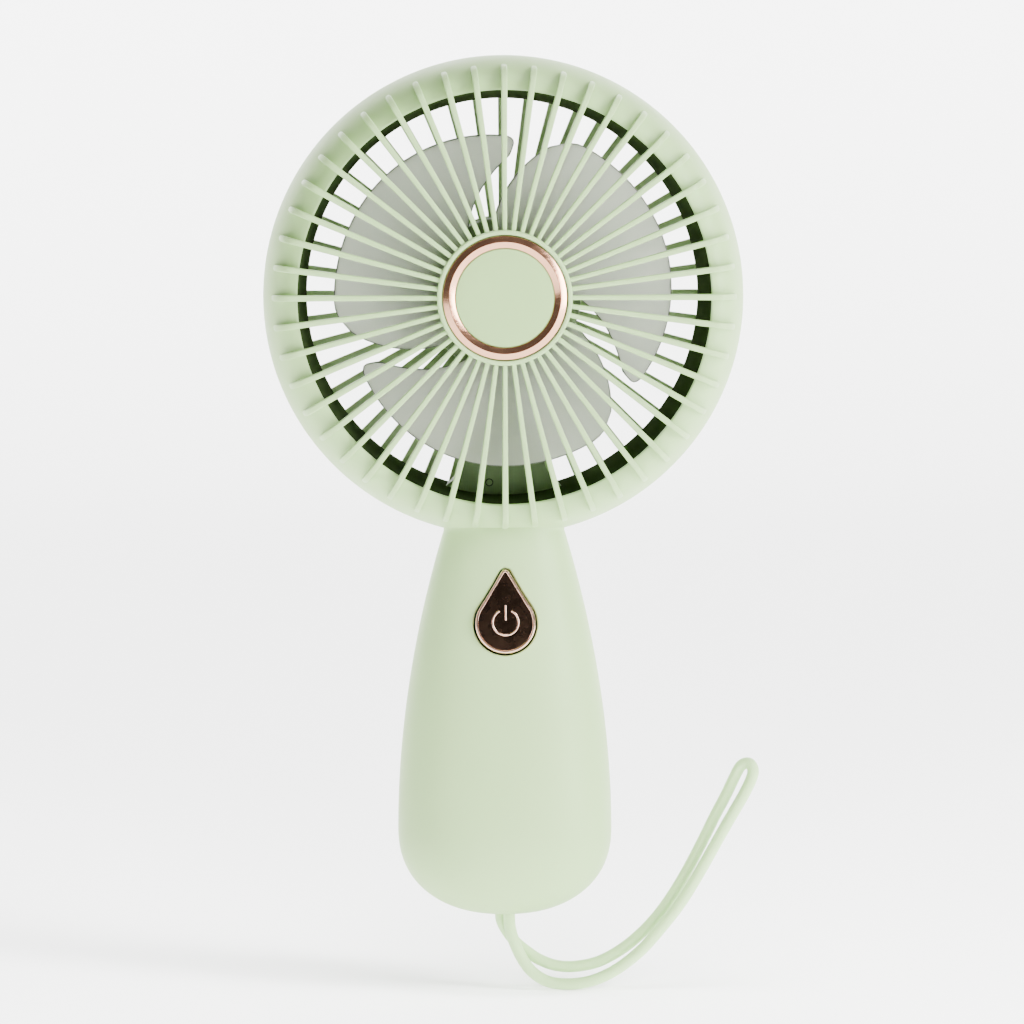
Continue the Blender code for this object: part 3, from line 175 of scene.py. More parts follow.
class Look:
    """A Principled material with procedural grain, mottling and roughness variation."""

    def __init__(self, name, colour, roughness, metallic=0.0):
        self.material = bpy.data.materials.new(name)
        self.material.use_nodes = True
        self.tree = self.material.node_tree
        self.shader = self.tree.nodes["Principled BSDF"]
        self.colour = colour
        self.set("Base Color", (*colour, 1))
        self.set("Roughness", roughness)
        self.set("Metallic", metallic)
        self.place = self.node("ShaderNodeTexCoord").outputs["Object"]
        self.last_bump = None

    def node(self, kind):
        return self.tree.nodes.new(kind)

    def link(self, a, b):
        self.tree.links.new(a, b)

    def set(self, socket, value):
        self.shader.inputs[socket].default_value = value
        return self

    def noise(self, scale, detail=3.0, stretch=(1, 1, 1)):
        place = self.place
        if stretch != (1, 1, 1):
            mapping = self.node("ShaderNodeMapping")
            mapping.inputs["Scale"].default_value = stretch
            self.link(place, mapping.inputs["Vector"])
            place = mapping.outputs["Vector"]
        noise = self.node("ShaderNodeTexNoise")
        noise.inputs["Scale"].default_value = scale
        noise.inputs["Detail"].default_value = detail
        self.link(place, noise.inputs["Vector"])
        return noise.outputs["Fac"]

    def spread(self, value, low, high, start=0.3, end=0.7):
        """Maps a noise from start..end to low..high."""
        ramp = self.node("ShaderNodeMapRange")
        for socket, number in (("From Min", start), ("From Max", end), ("To Min", low), ("To Max", high)):
            ramp.inputs[socket].default_value = number
        self.link(value, ramp.inputs["Value"])
        return ramp.outputs["Result"]

    def mottle(self, scale, other, detail=3.0, stretch=(1, 1, 1), amount=1.0):
        """Blends the base colour with another by noise."""
        mix = self.node("ShaderNodeMix")
        mix.data_type = "RGBA"
        mix.inputs["A"].default_value = (*self.colour, 1)
        mix.inputs["B"].default_value = (*other, 1)
        self.link(self.spread(self.noise(scale, detail, stretch), 0, amount), mix.inputs["Factor"])
        self.link(mix.outputs["Result"], self.shader.inputs["Base Color"])
        return self

    def rough(self, scale, low, high, detail=3.0, stretch=(1, 1, 1)):
        noise = self.noise(scale, detail, stretch)
        self.link(self.spread(noise, low, high), self.shader.inputs["Roughness"])
        return self

    def grain(self, scale, strength, distance, detail=2.0, stretch=(1, 1, 1)):
        """Adds a bump of noise; distance is its depth in millimetres."""
        bump = self.node("ShaderNodeBump")
        bump.inputs["Strength"].default_value = strength
        bump.inputs["Distance"].default_value = distance * MM
        self.link(self.noise(scale, detail, stretch), bump.inputs["Height"])
        if self.last_bump:
            self.link(self.last_bump, bump.inputs["Normal"])
        self.last_bump = bump.outputs["Normal"]
        self.link(self.last_bump, self.shader.inputs["Normal"])
        return self


PALE = (0.365, 0.54, 0.228)
# Painted shade: the two dark greens below stand in for the shade deep inside the duct, on the wall, motor
# pod, strut and dimple.
DUCT_PAINTED_SHADE = (0.03, 0.045, 0.018)
STRUT_PAINTED_SHADE = (0.13, 0.19, 0.085)


def plastic(name, colour, roughness=0.42, grain=0.35):
    """Satin moulded plastic with a fine spark-eroded grain."""
    darker = tuple(c * 0.93 for c in colour)
    look = Look(name, colour, roughness)
    look.mottle(35, darker, detail=2.0, amount=0.5)
    look.rough(90, roughness - 0.05, roughness + 0.06)
    look.grain(2600, grain, 0.02)
    look.set("Specular IOR Level", 0.32)
    return look


def materials():
    looks = {}
    shell = plastic("shell_green", PALE, 0.46, 0.4)
    looks["shell"] = shell
    looks["rib"] = plastic("rib_green", tuple(c * 0.98 for c in PALE), 0.38, 0.2)
    # Painted shade: the duct wall's near-black green stands in for the shade inside the duct.
    duct = plastic("duct_green", DUCT_PAINTED_SHADE, 0.8, 0.3)
    duct.set("Specular IOR Level", 0.0)
    looks["duct"] = duct
    # Painted shade: the darker green of the strut and motor pod stands in for the shade inside the duct.
    strut_painted_shade_look = plastic("strut_green_painted_shade", STRUT_PAINTED_SHADE, 0.6, 0.3)
    strut_painted_shade_look.set("Specular IOR Level", 0.2)
    looks["strut"] = strut_painted_shade_look
    looks["disc"] = plastic("badge_green", (0.31, 0.48, 0.178), 0.55, 0.5)
    rose = Look("rose_gold", (0.62, 0.33, 0.20), 0.14, 1.0)
    rose.mottle(120, (0.54, 0.28, 0.17), amount=0.6)
    rose.rough(300, 0.1, 0.2, stretch=(1, 1, 6))
    rose.grain(900, 0.12, 0.01)
    looks["rose"] = rose
    brown = Look("button_brown", (0.06, 0.035, 0.023), 0.26, 1.0)
    brown.mottle(60, (0.05, 0.03, 0.02), amount=0.8)
    brown.rough(400, 0.22, 0.32)
    brown.grain(2500, 0.1, 0.01)
    looks["brown"] = brown
    mark = Look("mark_copper", (0.78, 0.50, 0.38), 0.2, 1.0)
    mark.mottle(200, (0.7, 0.43, 0.32))
    mark.rough(500, 0.15, 0.26)
    looks["mark"] = mark
    blade = Look("frosted_blade", (0.60, 0.62, 0.55), 0.6)
    blade.mottle(25, (0.55, 0.57, 0.50), amount=0.6)
    blade.rough(200, 0.52, 0.66)
    blade.grain(1500, 0.25, 0.02)
    blade.set("Transmission Weight", 0.4)
    blade.set("IOR", 1.3)
    looks["blade"] = blade
    # Painted shade: a dark material for a line along the blades' edges, where the frosted plastic looks
    # dark edge-on.
    edge = Look("blade_edge_shade_line", (0.17, 0.19, 0.14), 0.5)
    edge.mottle(120, (0.14, 0.16, 0.12), amount=0.7)
    edge.rough(300, 0.42, 0.58)
    looks["edge"] = edge
    silicone = Look("silicone_green", (0.47, 0.69, 0.31), 0.5)
    silicone.mottle(60, (0.44, 0.65, 0.29), amount=0.5)
    silicone.rough(150, 0.44, 0.58)
    silicone.grain(1800, 0.2, 0.02)
    silicone.set("Subsurface Weight", 0.15)
    silicone.set("Subsurface Radius", (0.002, 0.0025, 0.0015))
    silicone.set("Subsurface Scale", 1.0)
    silicone.set("Sheen Weight", 0.15)
    looks["silicone"] = silicone
    steel = Look("steel", (0.60, 0.60, 0.59), 0.28, 1.0)
    steel.mottle(150, (0.5, 0.5, 0.5))
    steel.rough(600, 0.2, 0.38)
    steel.grain(3000, 0.15, 0.01)
    looks["steel"] = steel
    magnet = Look("magnet", (0.10, 0.10, 0.105), 0.45, 0.8)
    magnet.mottle(300, (0.07, 0.07, 0.075))
    magnet.grain(1500, 0.3, 0.02)
    looks["magnet"] = magnet
    brass = Look("brass", (0.66, 0.49, 0.21), 0.3, 1.0)
    brass.mottle(200, (0.55, 0.39, 0.16))
    brass.rough(400, 0.22, 0.4)
    looks["brass"] = brass
    winding = Look("winding", (0.62, 0.27, 0.12), 0.35, 1.0)
    winding.mottle(250, (0.45, 0.18, 0.08))
    winding.grain(900, 0.6, 0.08, stretch=(1, 8, 1))
    looks["winding"] = winding
    looks["black"] = plastic("black_plastic", (0.022, 0.022, 0.024), 0.45, 0.4)
    looks["white"] = plastic("white_plastic", (0.75, 0.75, 0.72), 0.45, 0.2)
    board = Look("board_green", (0.02, 0.13, 0.055), 0.35)
    board.mottle(700, (0.03, 0.19, 0.08), detail=1.0)
    board.grain(1200, 0.2, 0.03)
    looks["board"] = board
    wrap = Look("cell_wrap", (0.05, 0.17, 0.40), 0.3)
    wrap.mottle(80, (0.04, 0.14, 0.34))
    wrap.grain(300, 0.15, 0.04)
    looks["wrap"] = wrap
    for name, colour in (("wire_red", (0.5, 0.03, 0.02)), ("wire_black", (0.02, 0.02, 0.022))):
        wire = Look(name, colour, 0.5)
        wire.mottle(200, tuple(c * 0.8 for c in colour))
        wire.grain(1500, 0.2, 0.02)
        looks[name] = wire
    lens = Look("lens", (0.85, 0.88, 0.86), 0.15)
    lens.set("Transmission Weight", 0.6)
    lens.rough(500, 0.1, 0.2)
    looks["lens"] = lens
    return {name: look.material for name, look in looks.items()}


# Handle form ----------------------------------------------------------------------------------------

BELLY = 20.0
NECK = 88.9


def bottom_factor(h):
    if h >= BELLY:
        return 1.0
    share = (BELLY - h) / BELLY
    return max(1 - share ** 2.25, 0) ** (1 / 2.25)


def handle_size(h, belly, neck):
    if h < BELLY:
        return belly * bottom_factor(h)
    return belly - (belly - neck) * ((h - BELLY) / (NECK - BELLY)) ** 1.94


def half_width(h):
    flare = 1.1 * max(0.0, 1 - (90.4 - h) / 1.8) ** 2 if h > 88.6 else 0.0
    return handle_size(h, 24.6, 13.85) + min(flare, 1.2)


def half_depth(h):
    return handle_size(h, 17.0, 9.7)


def handle_loop(h, side, steps, inset=0.0):
    """Half a section of the handle: from +x round the front (side -1) or the back (side 1) to -x."""
    points = []
    for i in range(steps + 1):
        t = math.pi * i / steps
        x = math.copysign(abs(math.cos(t)) ** (2 / 2.3), math.cos(t)) * (half_width(h) - inset)
        y = side * max(math.sin(t), 0) ** (2 / 2.3) * (half_depth(h) - inset)
        points.append((x, y, height(h)))
    return points


SEAM = 0.07


def handle_half(name, side, top):
    """One half of the handle: outer skin, rounded seam edge and a tongue that closes the seam."""
    steps = 96
    low = [0.05 + BELLY * (1 - math.cos(math.radians(a)) ** (2 / 2.25)) for a in range(4, 90, 4)]
    high = [BELLY + (top - BELLY) * i / 46 for i in range(47)]
    heights = [h for h in low + high if h <= NECK - 1] + [NECK - 0.6 + 0.2 * i for i in range(14)]
    bm = bmesh.new()
    loops = []
    for h in heights:
        outer = handle_loop(h, side, steps)
        inner = handle_loop(h, side, steps, inset=min(1.8, half_width(h) * 0.4))
        first = [(outer[0][0] - 0.12, side * SEAM, outer[0][2])]
        last = [(outer[-1][0] + 0.12, side * SEAM, outer[0][2])]
        body = [(x, side * max(abs(y), SEAM + 0.12), z) for x, y, z in outer]
        inside = [(x, side * max(abs(y), SEAM), z) for x, y, z in inner]
        start = [(inside[0][0], side * SEAM, outer[0][2])]
        finish = [(inside[-1][0], side * SEAM, outer[0][2])]
        loops.append(first + body + last + finish + inside[::-1][1:-1] + start)
    add_loft(bm, loops)
    return new_object(name, bm, sharp=40)


USB_HEIGHT = 63.4
BUTTON_H = 71.0
BUTTON_R = 6.9
BUTTON_LENGTH = 19.2
TIP_R = 1.1


def button_matrix():
    reach = BUTTON_LENGTH / 2
    tilt = math.atan2(half_depth(BUTTON_H - reach) - half_depth(BUTTON_H + reach), 2 * reach)
    return (Matrix.Translation((0, -half_depth(BUTTON_H) * MM, height(BUTTON_H) * MM))
            @ Matrix.Rotation(math.pi / 2 - tilt, 4, "X"))


BUTTON = button_matrix()


def drop_outline(grow=0.0, steps=48):
    """Water drop: a round body, a small round tip and softly curved sides."""
    radius = BUTTON_R + grow
    low = BUTTON_R - BUTTON_LENGTH / 2
    tip = BUTTON_LENGTH / 2 - TIP_R
    body = [(radius * math.cos(a), low + radius * math.sin(a))
            for a in (math.radians(38 - 256 * i / steps) for i in range(steps + 1))]
    point = arc((0, tip), TIP_R + grow, 156, 24, steps // 4)
    bend = (0.455 * BUTTON_R + grow * 0.9, 0.27 * BUTTON_LENGTH)
    side = [(-x, y) for x, y in curve3((-body[-1][0], body[-1][1]), bend, (-point[0][0], point[0][1]), 12)]
    other = [(-x, y) for x, y in side[::-1]]
    return body + side + point + other


def curve3(start, bend, end, steps):
    """Inner points of a quadratic curve."""
    points = []
    for i in range(1, steps):
        t = i / steps
        points.append(tuple((1 - t) ** 2 * a + 2 * t * (1 - t) * b + t ** 2 * c
                            for a, b, c in zip(start, bend, end)))
    return points


def on_handle(x, v, sink):
    """Place in the button's frame where the handle's front lies over (x, v), sunk by some millimetres."""
    z = BUTTON_H + v * math.cos(math.atan2(BUTTON[1][1], BUTTON[2][1]))
    share = min(abs(x) / half_width(z), 1.0)
    y = -half_depth(z) * (1 - share ** 2.3) ** (1 / 2.3)
    world = Vector((x * MM, y * MM, height(z) * MM))
    local = BUTTON.inverted() @ world / MM
    return x, v, local.z - sink


def button_well(name):
    """Rounded edge and side wall of the button's recess."""
    bm = bmesh.new()
    loops = []
    for grow, sink in ((1.0, 0.03), (0.8, 0.0), (0.62, 0.06), (0.5, 0.18), (0.42, 0.38)):
        loops.append([on_handle(x, v, sink) for x, v in drop_outline(grow)])
    for w in (-1.6, -3.0):
        loops.append([(x, v, w) for x, v in drop_outline(0.4)])
    add_loft(bm, loops, caps=False)
    return new_object(name, bm, BUTTON, sharp=60)


def button_face(name):
    """Brown face plate, very slightly crowned."""
    bm = bmesh.new()
    outer = drop_outline(-0.62)
    rings = []
    low = BUTTON_R - BUTTON_LENGTH / 2
    for share, w in ((1.0, 0.50), (0.75, 0.56), (0.5, 0.6), (0.25, 0.63)):
        loop = [(x * share, low + (y - low) * share, w) for x, y in outer]
        rings.append([bm.verts.new(p) for p in loop])
    skirt = [bm.verts.new((x, y, -0.4)) for x, y in outer]
    for lower, upper in zip([skirt] + rings, rings):
        for i in range(len(lower)):
            j = (i + 1) % len(lower)
            bm.faces.new((lower[i], lower[j], upper[j], upper[i]))
    bm.faces.new(rings[-1])
    bm.faces.new(skirt)
    return new_object(name, bm, BUTTON, sharp=45)


def button_rim(name):
    """Copper rim round the face, with a bevelled top and the skirt that runs in the recess."""
    bm = bmesh.new()
    loops = []
    for grow, w in ((-0.66, 0.3), (-0.66, 0.62), (-0.55, 0.72), (-0.3, 0.72), (-0.1, 0.6), (0.0, 0.42),
                    (0.0, -3.4), (-0.66, -3.4)):
        loops.append([(x, y, w) for x, y in drop_outline(grow)])
    rings = add_loft(bm, loops, caps=False)
    for i in range(len(rings[0])):
        j = (i + 1) % len(rings[0])
        bm.faces.new((rings[-1][i], rings[-1][j], rings[0][j], rings[0][i]))
    return new_object(name, bm, BUTTON, sharp=30)


def tube(name, points, radius, matrix=None, resolution=3):
    data = bpy.data.curves.new(name, "CURVE")
    data.dimensions = "3D"
    data.bevel_depth = radius * MM
    data.bevel_resolution = resolution
    data.use_fill_caps = True
    spline = data.splines.new("POLY")
    spline.points.add(len(points) - 1)
    for slot, point in zip(spline.points, points):
        place = Vector(point) * MM
        slot.co = (*(matrix @ place if matrix else place), 1)
    item = bpy.data.objects.new(name, data)
    bpy.context.collection.objects.link(item)
    return item


# Head -----------------------------------------------------------------------------------------------

def ring_w(radius):
    """Height of the ring's convex front over a radius."""
    share = min(max((radius - LIP_R) / (RING_R - LIP_R), 0), 1)
    return RING_FRONT * math.sqrt(1 - share ** 2)


def front_ring(name):
    """Convex ring cover with a softened lip and a rounded seam edge."""
    wide = RING_R - LIP_R
    skin = [(LIP_R + wide * math.cos(math.radians(a)), RING_FRONT * math.sin(math.radians(a)))
            for a in [3 + 3.6 * i for i in range(24)]]
    skin = [(RING_R - 0.25, 0.05), (RING_R - 0.02, 0.25)] + skin
    lip = [(LIP_R + 0.3, RING_FRONT), (LIP_R + 0.06, RING_FRONT - 0.12), (LIP_R, RING_FRONT - 0.45),
           (LIP_R, 11.2), (LIP_R + 1.4, 11.2)]
    inside = [(LIP_R + 2.5, 10.6), (RING_R - 3.0, 8.0), (RING_R - 1.9, 3.0), (RING_R - 1.8, 0.05)]
    return turned(name, skin + lip + inside)


# Radii at which a rib has a cross-section; they crowd where its end is rounded.
RIB_STATIONS = (20, 26, 32, 38, 43, 46, 47.5, 48.6, 49.4, 50.1, 50.7,
                51.3, 51.8, 52.2, 52.5, 52.75, 52.92, 53.03)


def rib_sections(tip, root, front, back, wide_root, wide_tip, follow):
    """Stations along a rib: radius, half width, front and back height."""
    stations = []
    for r in (root,) + RIB_STATIONS:
        if r > tip:
            continue
        share = (r - root) / (tip - root)
        half = (wide_root + (wide_tip - wide_root) * share) / 2
        end = tip - r
        if end < half:
            half = math.sqrt(max(half ** 2 - (half - end) ** 2, 0.004))
        top = front
        if follow and r > 48.3:
            drop = (r - 48.3) / (tip - 48.3)
            top = front - (front - ring_w(tip) - 0.15) * (1 - math.sqrt(max(1 - drop ** 2.1, 0)))
            top = max(top, ring_w(r) + 0.12)
        low = back if not follow or r < LIP_R else ring_w(r) - 0.8
        stations.append((r, half, top, low))
    return stations


def add_rib(bm, degrees, stations, soft=0.28):
    """One rib: a bar whose front edges are rounded."""
    turn = Matrix.Rotation(math.radians(degrees), 3, "Z")
    loops = []
    for r, half, top, low in stations:
        edge = min(soft, half * 0.8)
        corner = arc((half - edge, top - edge), edge, 0, 90, 3)
        right = [(half, low)] + corner
        left = [(-x, w) for x, w in right[::-1]]
        loops.append([turn @ Vector((r, x, w)) for x, w in right + left])
    add_loft(bm, loops)


def front_ribs(name):
    bm = bmesh.new()
    stations = rib_sections(53.1, 15.0, 16.2, 13.0, 1.05, 1.4, True)
    for k in range(RIB_COUNT):
        add_rib(bm, 360 * k / RIB_COUNT, stations)
    return new_object(name, bm, HEAD, sharp=50)


def hub_cup(name):
    """Cup that carries the badge, with a softened rim."""
    rim = arc((15.0, 16.5), 0.4, 0, 90, 6) + arc((14.65, 16.6), 0.3, 90, 180, 5)
    profile = [(0, 13.0), (15.1, 13.0), (15.4, 13.3)] + rim + [(14.35, 15.0), (0, 15.0)]
    return turned(name, profile)


def badge_ring(name):
    """Polished ridge of two slopes whose crest and edges are just broken."""
    outer, crest, inner = 14.1, 12.7, 11.3
    top, edge = 17.35, 16.75
    profile = [(outer, 15.2), (outer, edge - 0.1), (outer - 0.08, edge), (crest + 0.12, top - 0.04),
               (crest, top), (crest - 0.12, top - 0.04), (inner + 0.08, edge), (inner, edge - 0.1),
               (inner, 15.2)]
    return turned(name, profile, sharp=25)


def badge_disc(name):
    rim = arc((10.95, 16.45), 0.25, 0, 90, 4)
    return turned(name, [(0, 15.0), (11.2, 15.0)] + rim + [(6.0, 16.72), (0, 16.72)])


def duct(name):
    """Inner wall with its flange, front face rounded; its dark green is painted shade."""
    front = [(46.9, 12.2), (47.1, 12.5), (47.9, 12.5), (48.1, 12.2)]
    flange = [(47.4, 1.0), (53.0, 1.0), (53.0, -1.0), (47.3, -1.0)]
    rear = [(46.45, -12.5), (45.2, -12.5)]
    return turned(name, front + flange + rear)


def motor_pod(name):
    edge = arc((16.8, -0.4), 1.0, 0, 90, 6)
    profile = [(17.8, -12.3)] + edge + [(3.6, 0.6), (3.6, -1.0), (16.3, -1.0), (16.3, -12.3)]
    return turned(name, profile, segments=128)


def strut(name):
    """Channel that flares into the duct wall at its foot."""
    half = [(3.3, -16.5), (3.4, -20.0), (3.6, -24.0), (4.3, -27.0), (5.6, -30.0), (7.4, -32.8),
            (8.7, -35.0), (9.2, -37.3), (9.6, -39.3), (10.5, -41.2), (12.0, -42.9), (13.7, -44.2)]
    foot = [polar(46.5, -73 - i * 34 / 24) for i in range(25)]
    outline = half + foot + [(-x, y) for x, y in reversed(half)]
    bm = bmesh.new()
    add_loft(bm, [[(x, y, w) for x, y in outline] for w in (-12.1, -2.5)])
    item = new_object(name, bm, HEAD)
    return bevelled(item, 0.5, 3, 50)


def dimple(name):
    """Small round boss with a hole at the strut's foot."""
    ring = arc((0.8, -2.45), 0.12, 0, 180, 4)
    profile = [(0.92, -3.0)] + ring + [(0.68, -3.0)]
    return turned(name, profile, HEAD @ Matrix.Translation((-3.3 * MM, -43.1 * MM, 0)), segments=32)


def rear_grille(name):
    rim = [(49.1, -15.7), (49.1, -13.9), (48.9, -12.8), (45.6, -12.8),
           (45.4, -13.0), (45.4, -15.3), (45.8, -15.7)]
    bm = bmesh.new()
    add_turned(bm, rim)
    disc = [(18.2, -13.0), (18.0, -12.8), (2.0, -12.8), (2.0, -15.0), (17.8, -15.05), (18.2, -14.8)]
    add_turned(bm, disc, 128)
    flat = add_turned(bm, [(2.0, -12.85), (2.0, -15.0)], 32, closed=False)
    for loop in flat:
        bm.faces.new(loop)
    for k in range(RIB_COUNT):
        stations = [(r, 0.75 + 0.1 * (r - 17) / 29, 15.3, 12.9) for r in (17.2, 30.0, 46.3)]
        angle = math.radians(360 * k / RIB_COUNT)
        turn = Matrix.Rotation(angle, 3, "Z")
        loops = []
        for r, half, top, low in stations:
            corner = arc((half - 0.25, top - 0.25), 0.25, 0, 90, 3)
            right = [(half, low)] + corner
            left = [(-x, w) for x, w in right[::-1]]
            loops.append([turn @ Vector((r, x, -w)) for x, w in right + left])
        add_loft(bm, loops)
    return new_object(name, bm, HEAD, sharp=45)


def rear_ring(name):
    """Rear skin of the head, its edge at the seam rounded."""
    wide = RING_R - REAR_LIP_R
    skin = [(REAR_LIP_R + wide * math.cos(math.radians(a)), -RING_REAR * math.sin(math.radians(a)))
            for a in [3 + 3.6 * i for i in range(24)]]
    skin = [(RING_R - 0.25, -0.05), (RING_R - 0.02, -0.25)] + skin
    lip = [(REAR_LIP_R + 0.45, -RING_REAR), (REAR_LIP_R + 0.25, -RING_REAR + 0.2),
           (REAR_LIP_R + 0.25, -14.2)]
    inside = [(RING_R - 3.0, -10.6), (RING_R - 1.8, -4.0), (RING_R - 1.8, -0.05)]
    return turned(name, skin + lip + inside)


# Blades ---------------------------------------------------------------------------------------------

BLADE_R = 38.6
BLADE_TIP_R = 36.4
BLADE_ANGLE = 86.0             # first hooked tip, from +X
HUB_R = 14.0


def leading_angle(radius):
    if radius > BLADE_TIP_R - 4:
        share = min((radius - BLADE_TIP_R + 4) / 4, 1)
        return 1.6 * (1 - share) ** 1.5
    inward = (BLADE_TIP_R - 4 - radius) / (BLADE_TIP_R - 4 - HUB_R)
    return 1.6 + 38.0 * inward ** 1.05


def trailing_angle(radius):
    inward = max((BLADE_R - radius) / (BLADE_R - HUB_R), 0)
    return 101.0 + 34.5 * inward ** 0.85


def blade_reach(share):
    swell = BLADE_TIP_R + (BLADE_R - BLADE_TIP_R) * math.sin(min(share / 0.6, 1) * math.pi / 2)
    if share < 0.035:
        return swell - 1.4 * (1 - math.sqrt(max(1 - (1 - share / 0.035) ** 2, 0)))
    if share > 0.95:
        return swell - 3.0 * (1 - math.sqrt(max(1 - ((share - 0.95) / 0.05) ** 2, 0)))
    return swell


def blade(name, degrees):
    """One swept blade with rounded edges, a pitched plate."""
    shares = ([0.0, 0.004, 0.012, 0.022, 0.035] + [0.035 + 0.915 * i / 36 for i in range(1, 37)]
              + [0.962, 0.975, 0.986, 0.994, 1.0])
    rows = 14
    root = HUB_R - 0.6
    bm = bmesh.new()
    sides = []
    for half in (-0.5, 0.5):
        grid = []
        for share in shares:
            reach = blade_reach(share)
            row = []
            for k in range(rows + 1):
                radius = root + (reach - root) * k / rows
                first = leading_angle(radius)
                sweep = first + (trailing_angle(radius) - first) * share
                x, y = polar(radius, degrees + sweep)
                row.append(bm.verts.new((x, y, 3.9 + 5.4 * share + half)))
            grid.append(row)
        sides.append(grid)
    rear, front = sides
    last = len(shares) - 1
    for i in range(last):
        for k in range(rows):
            for grid in sides:
                bm.faces.new((grid[i][k], grid[i + 1][k], grid[i + 1][k + 1], grid[i][k + 1]))
        for k in (0, rows):
            bm.faces.new((rear[i][k], rear[i + 1][k], front[i + 1][k], front[i][k]))
    for k in range(rows):
        for i in (0, last):
            bm.faces.new((rear[i][k], rear[i][k + 1], front[i][k + 1], front[i][k]))
    item = new_object(name, bm, HEAD, sharp=30)
    return bevelled(item, 0.3, 2, 50)


def blade_edge_shade_line(name, degrees):
    """Thin dark line of painted shade along the frosted blade's edge, from the root round the tip and back.
    """
    root = HUB_R - 0.4

    def place(share, radius):
        first = leading_angle(radius)
        x, y = polar(radius, degrees + first + (trailing_angle(radius) - first) * share)
        return x, y, 3.9 + 5.4 * share

    def side(share):
        reach = blade_reach(share)
        return [place(share, root + (reach - root) * k / 24) for k in range(25)]

    shares = [0.004, 0.012, 0.022] + [i / 60 for i in range(2, 60)]
    outer = [place(share, blade_reach(share)) for share in shares]
    return tube(name, side(0.0) + outer + side(1.0)[::-1], 0.27, HEAD, resolution=1)


def impeller_hub(name):
    edge = arc((13.2, 9.6), 0.8, 0, 90, 6)
    bore = [(1.4, 10.4), (1.4, 2.6), (3.2, 2.6), (3.2, 8.7), (12.7, 8.7), (12.7, 2.6)]
    return turned(name, [(14.0, 2.6)] + edge + bore, segments=128)


# Screws, socket and the rest --------------------------------------------------------------------------

def cross_screw(name, matrix, shank):
    """Pan-head screw with a cross recess; the head stands above z = 0."""
    crown = [(1.6, 0.0), (1.6, 0.55), (1.5, 0.85), (1.2, 1.12), (0.8, 1.25)]
    profile = [(0, -shank), (0.55, -shank), (0.85, -shank + 0.8), (0.85, 0.0)] + crown + [(0, 1.3)]
    item = turned(name, profile, None, segments=32)
    for wide, deep in ((0.95, 0.2), (0.2, 0.95)):
        bm = bmesh.new()
        outline = ((-wide, -deep), (wide, -deep), (wide, deep), (-wide, deep))
        add_loft(bm, [[(x * k, y * k, z) for x, y in outline] for k, z in ((0.7, 0.45), (1.05, 1.6))])
        cut(item, new_object("slot", bm))
    item.data.transform(matrix)
    return item


def slot_outline(width, thickness, steps=16):
    radius = thickness / 2
    reach = width / 2 - radius
    right = arc((reach, 0), radius, -90, 90, steps)
    left = arc((-reach, 0), radius, 90, 270, steps)
    return right + left


def usb_shell(name, mouth, depth, centre):
    """Folded steel shell with a rolled mouth."""
    bm = bmesh.new()
    sections = ((9.0, 3.2, mouth - depth), (9.0, 3.2, mouth - 0.15), (8.8, 3.0, mouth), (8.5, 2.7, mouth),
                (8.3, 2.5, mouth - 0.2), (8.3, 2.5, mouth - depth + 0.8))
    add_loft(bm, [[(x, y, centre + z) for x, z in slot_outline(w, t)] for w, t, y in sections])
    return new_object(name, bm, sharp=40)


def usb_bezel(name, centre):
    """Softened edge of the charging port in the rear shell."""
    bm = bmesh.new()
    loops = []
    for grow, sink in ((1.0, -0.02), (0.7, 0.0), (0.45, 0.12), (0.34, 0.35), (0.3, 1.4)):
        loop = []
        for x, z in slot_outline(9.0 + 2 * grow, 3.2 + 2 * grow):
            h = centre + 40 + z
            share = min(abs(x) / half_width(h), 1)
            loop.append((x, half_depth(h) * (1 - share ** 2.3) ** (1 / 2.3) - sink, centre + z))
        loops.append(loop)
    add_loft(bm, loops, caps=False)
    return new_object(name, bm, sharp=60)


LANYARD = (
    (0.95, -1.6, 2.4), (0.95, -1.6, -0.6), (1.15, -1.6, -3.2), (2.0, -1.55, -6.2), (3.8, -1.5, -10.2),
    (6.4, -1.5, -13.6), (10.2, -1.5, -15.8), (15.5, -1.5, -16.3), (20.8, -1.5, -15.3),
    (26.1, -1.5, -12.7), (31.4, -1.5, -8.5), (35.8, -1.5, -3.6), (40.3, -1.5, 2.1),
    (44.2, -1.5, 8.3), (48.2, -1.5, 15.4), (51.7, -1.5, 21.6), (54.8, -1.4, 26.9),
    (56.8, -1.2, 30.9), (57.3, -0.8, 33.2), (56.3, 0.0, 34.6), (54.5, 0.8, 33.8),
    (52.9, 1.2, 30.8), (51.1, 1.4, 27.0), (48.6, 1.5, 22.2), (46.0, 1.5, 16.9),
    (43.0, 1.5, 11.1), (39.6, 1.5, 5.2), (35.8, 1.5, -0.3), (31.5, 1.5, -5.0),
    (26.9, 1.5, -8.7), (21.7, 1.5, -11.5), (16.4, 1.5, -12.6), (11.9, 1.5, -12.4),
    (8.0, 1.5, -11.0), (5.0, 1.5, -9.0), (2.5, 1.55, -6.9), (0.6, 1.6, -4.5),
    (-0.6, 1.6, -2.3), (-0.95, 1.6, -0.6), (-0.95, 1.6, 2.4),
)
LANYARD_R = 1.35


def smooth(points, steps):
    """Catmull-Rom points through a route."""
    route = [Vector(p) for p in points]
    padded = [2 * route[0] - route[1], *route, 2 * route[-1] - route[-2]]
    result = []
    for a, b, c, d in zip(padded, padded[1:], padded[2:], padded[3:]):
        for i in range(steps):
            t = i / steps
            result.append(0.5 * (2 * b + (c - a) * t + (2 * a - 5 * b + 4 * c - d) * t ** 2
                                 + (3 * b - a - 3 * c + d) * t ** 3))
    return result + [route[-1]]


# Assembly -------------------------------------------------------------------------------------------

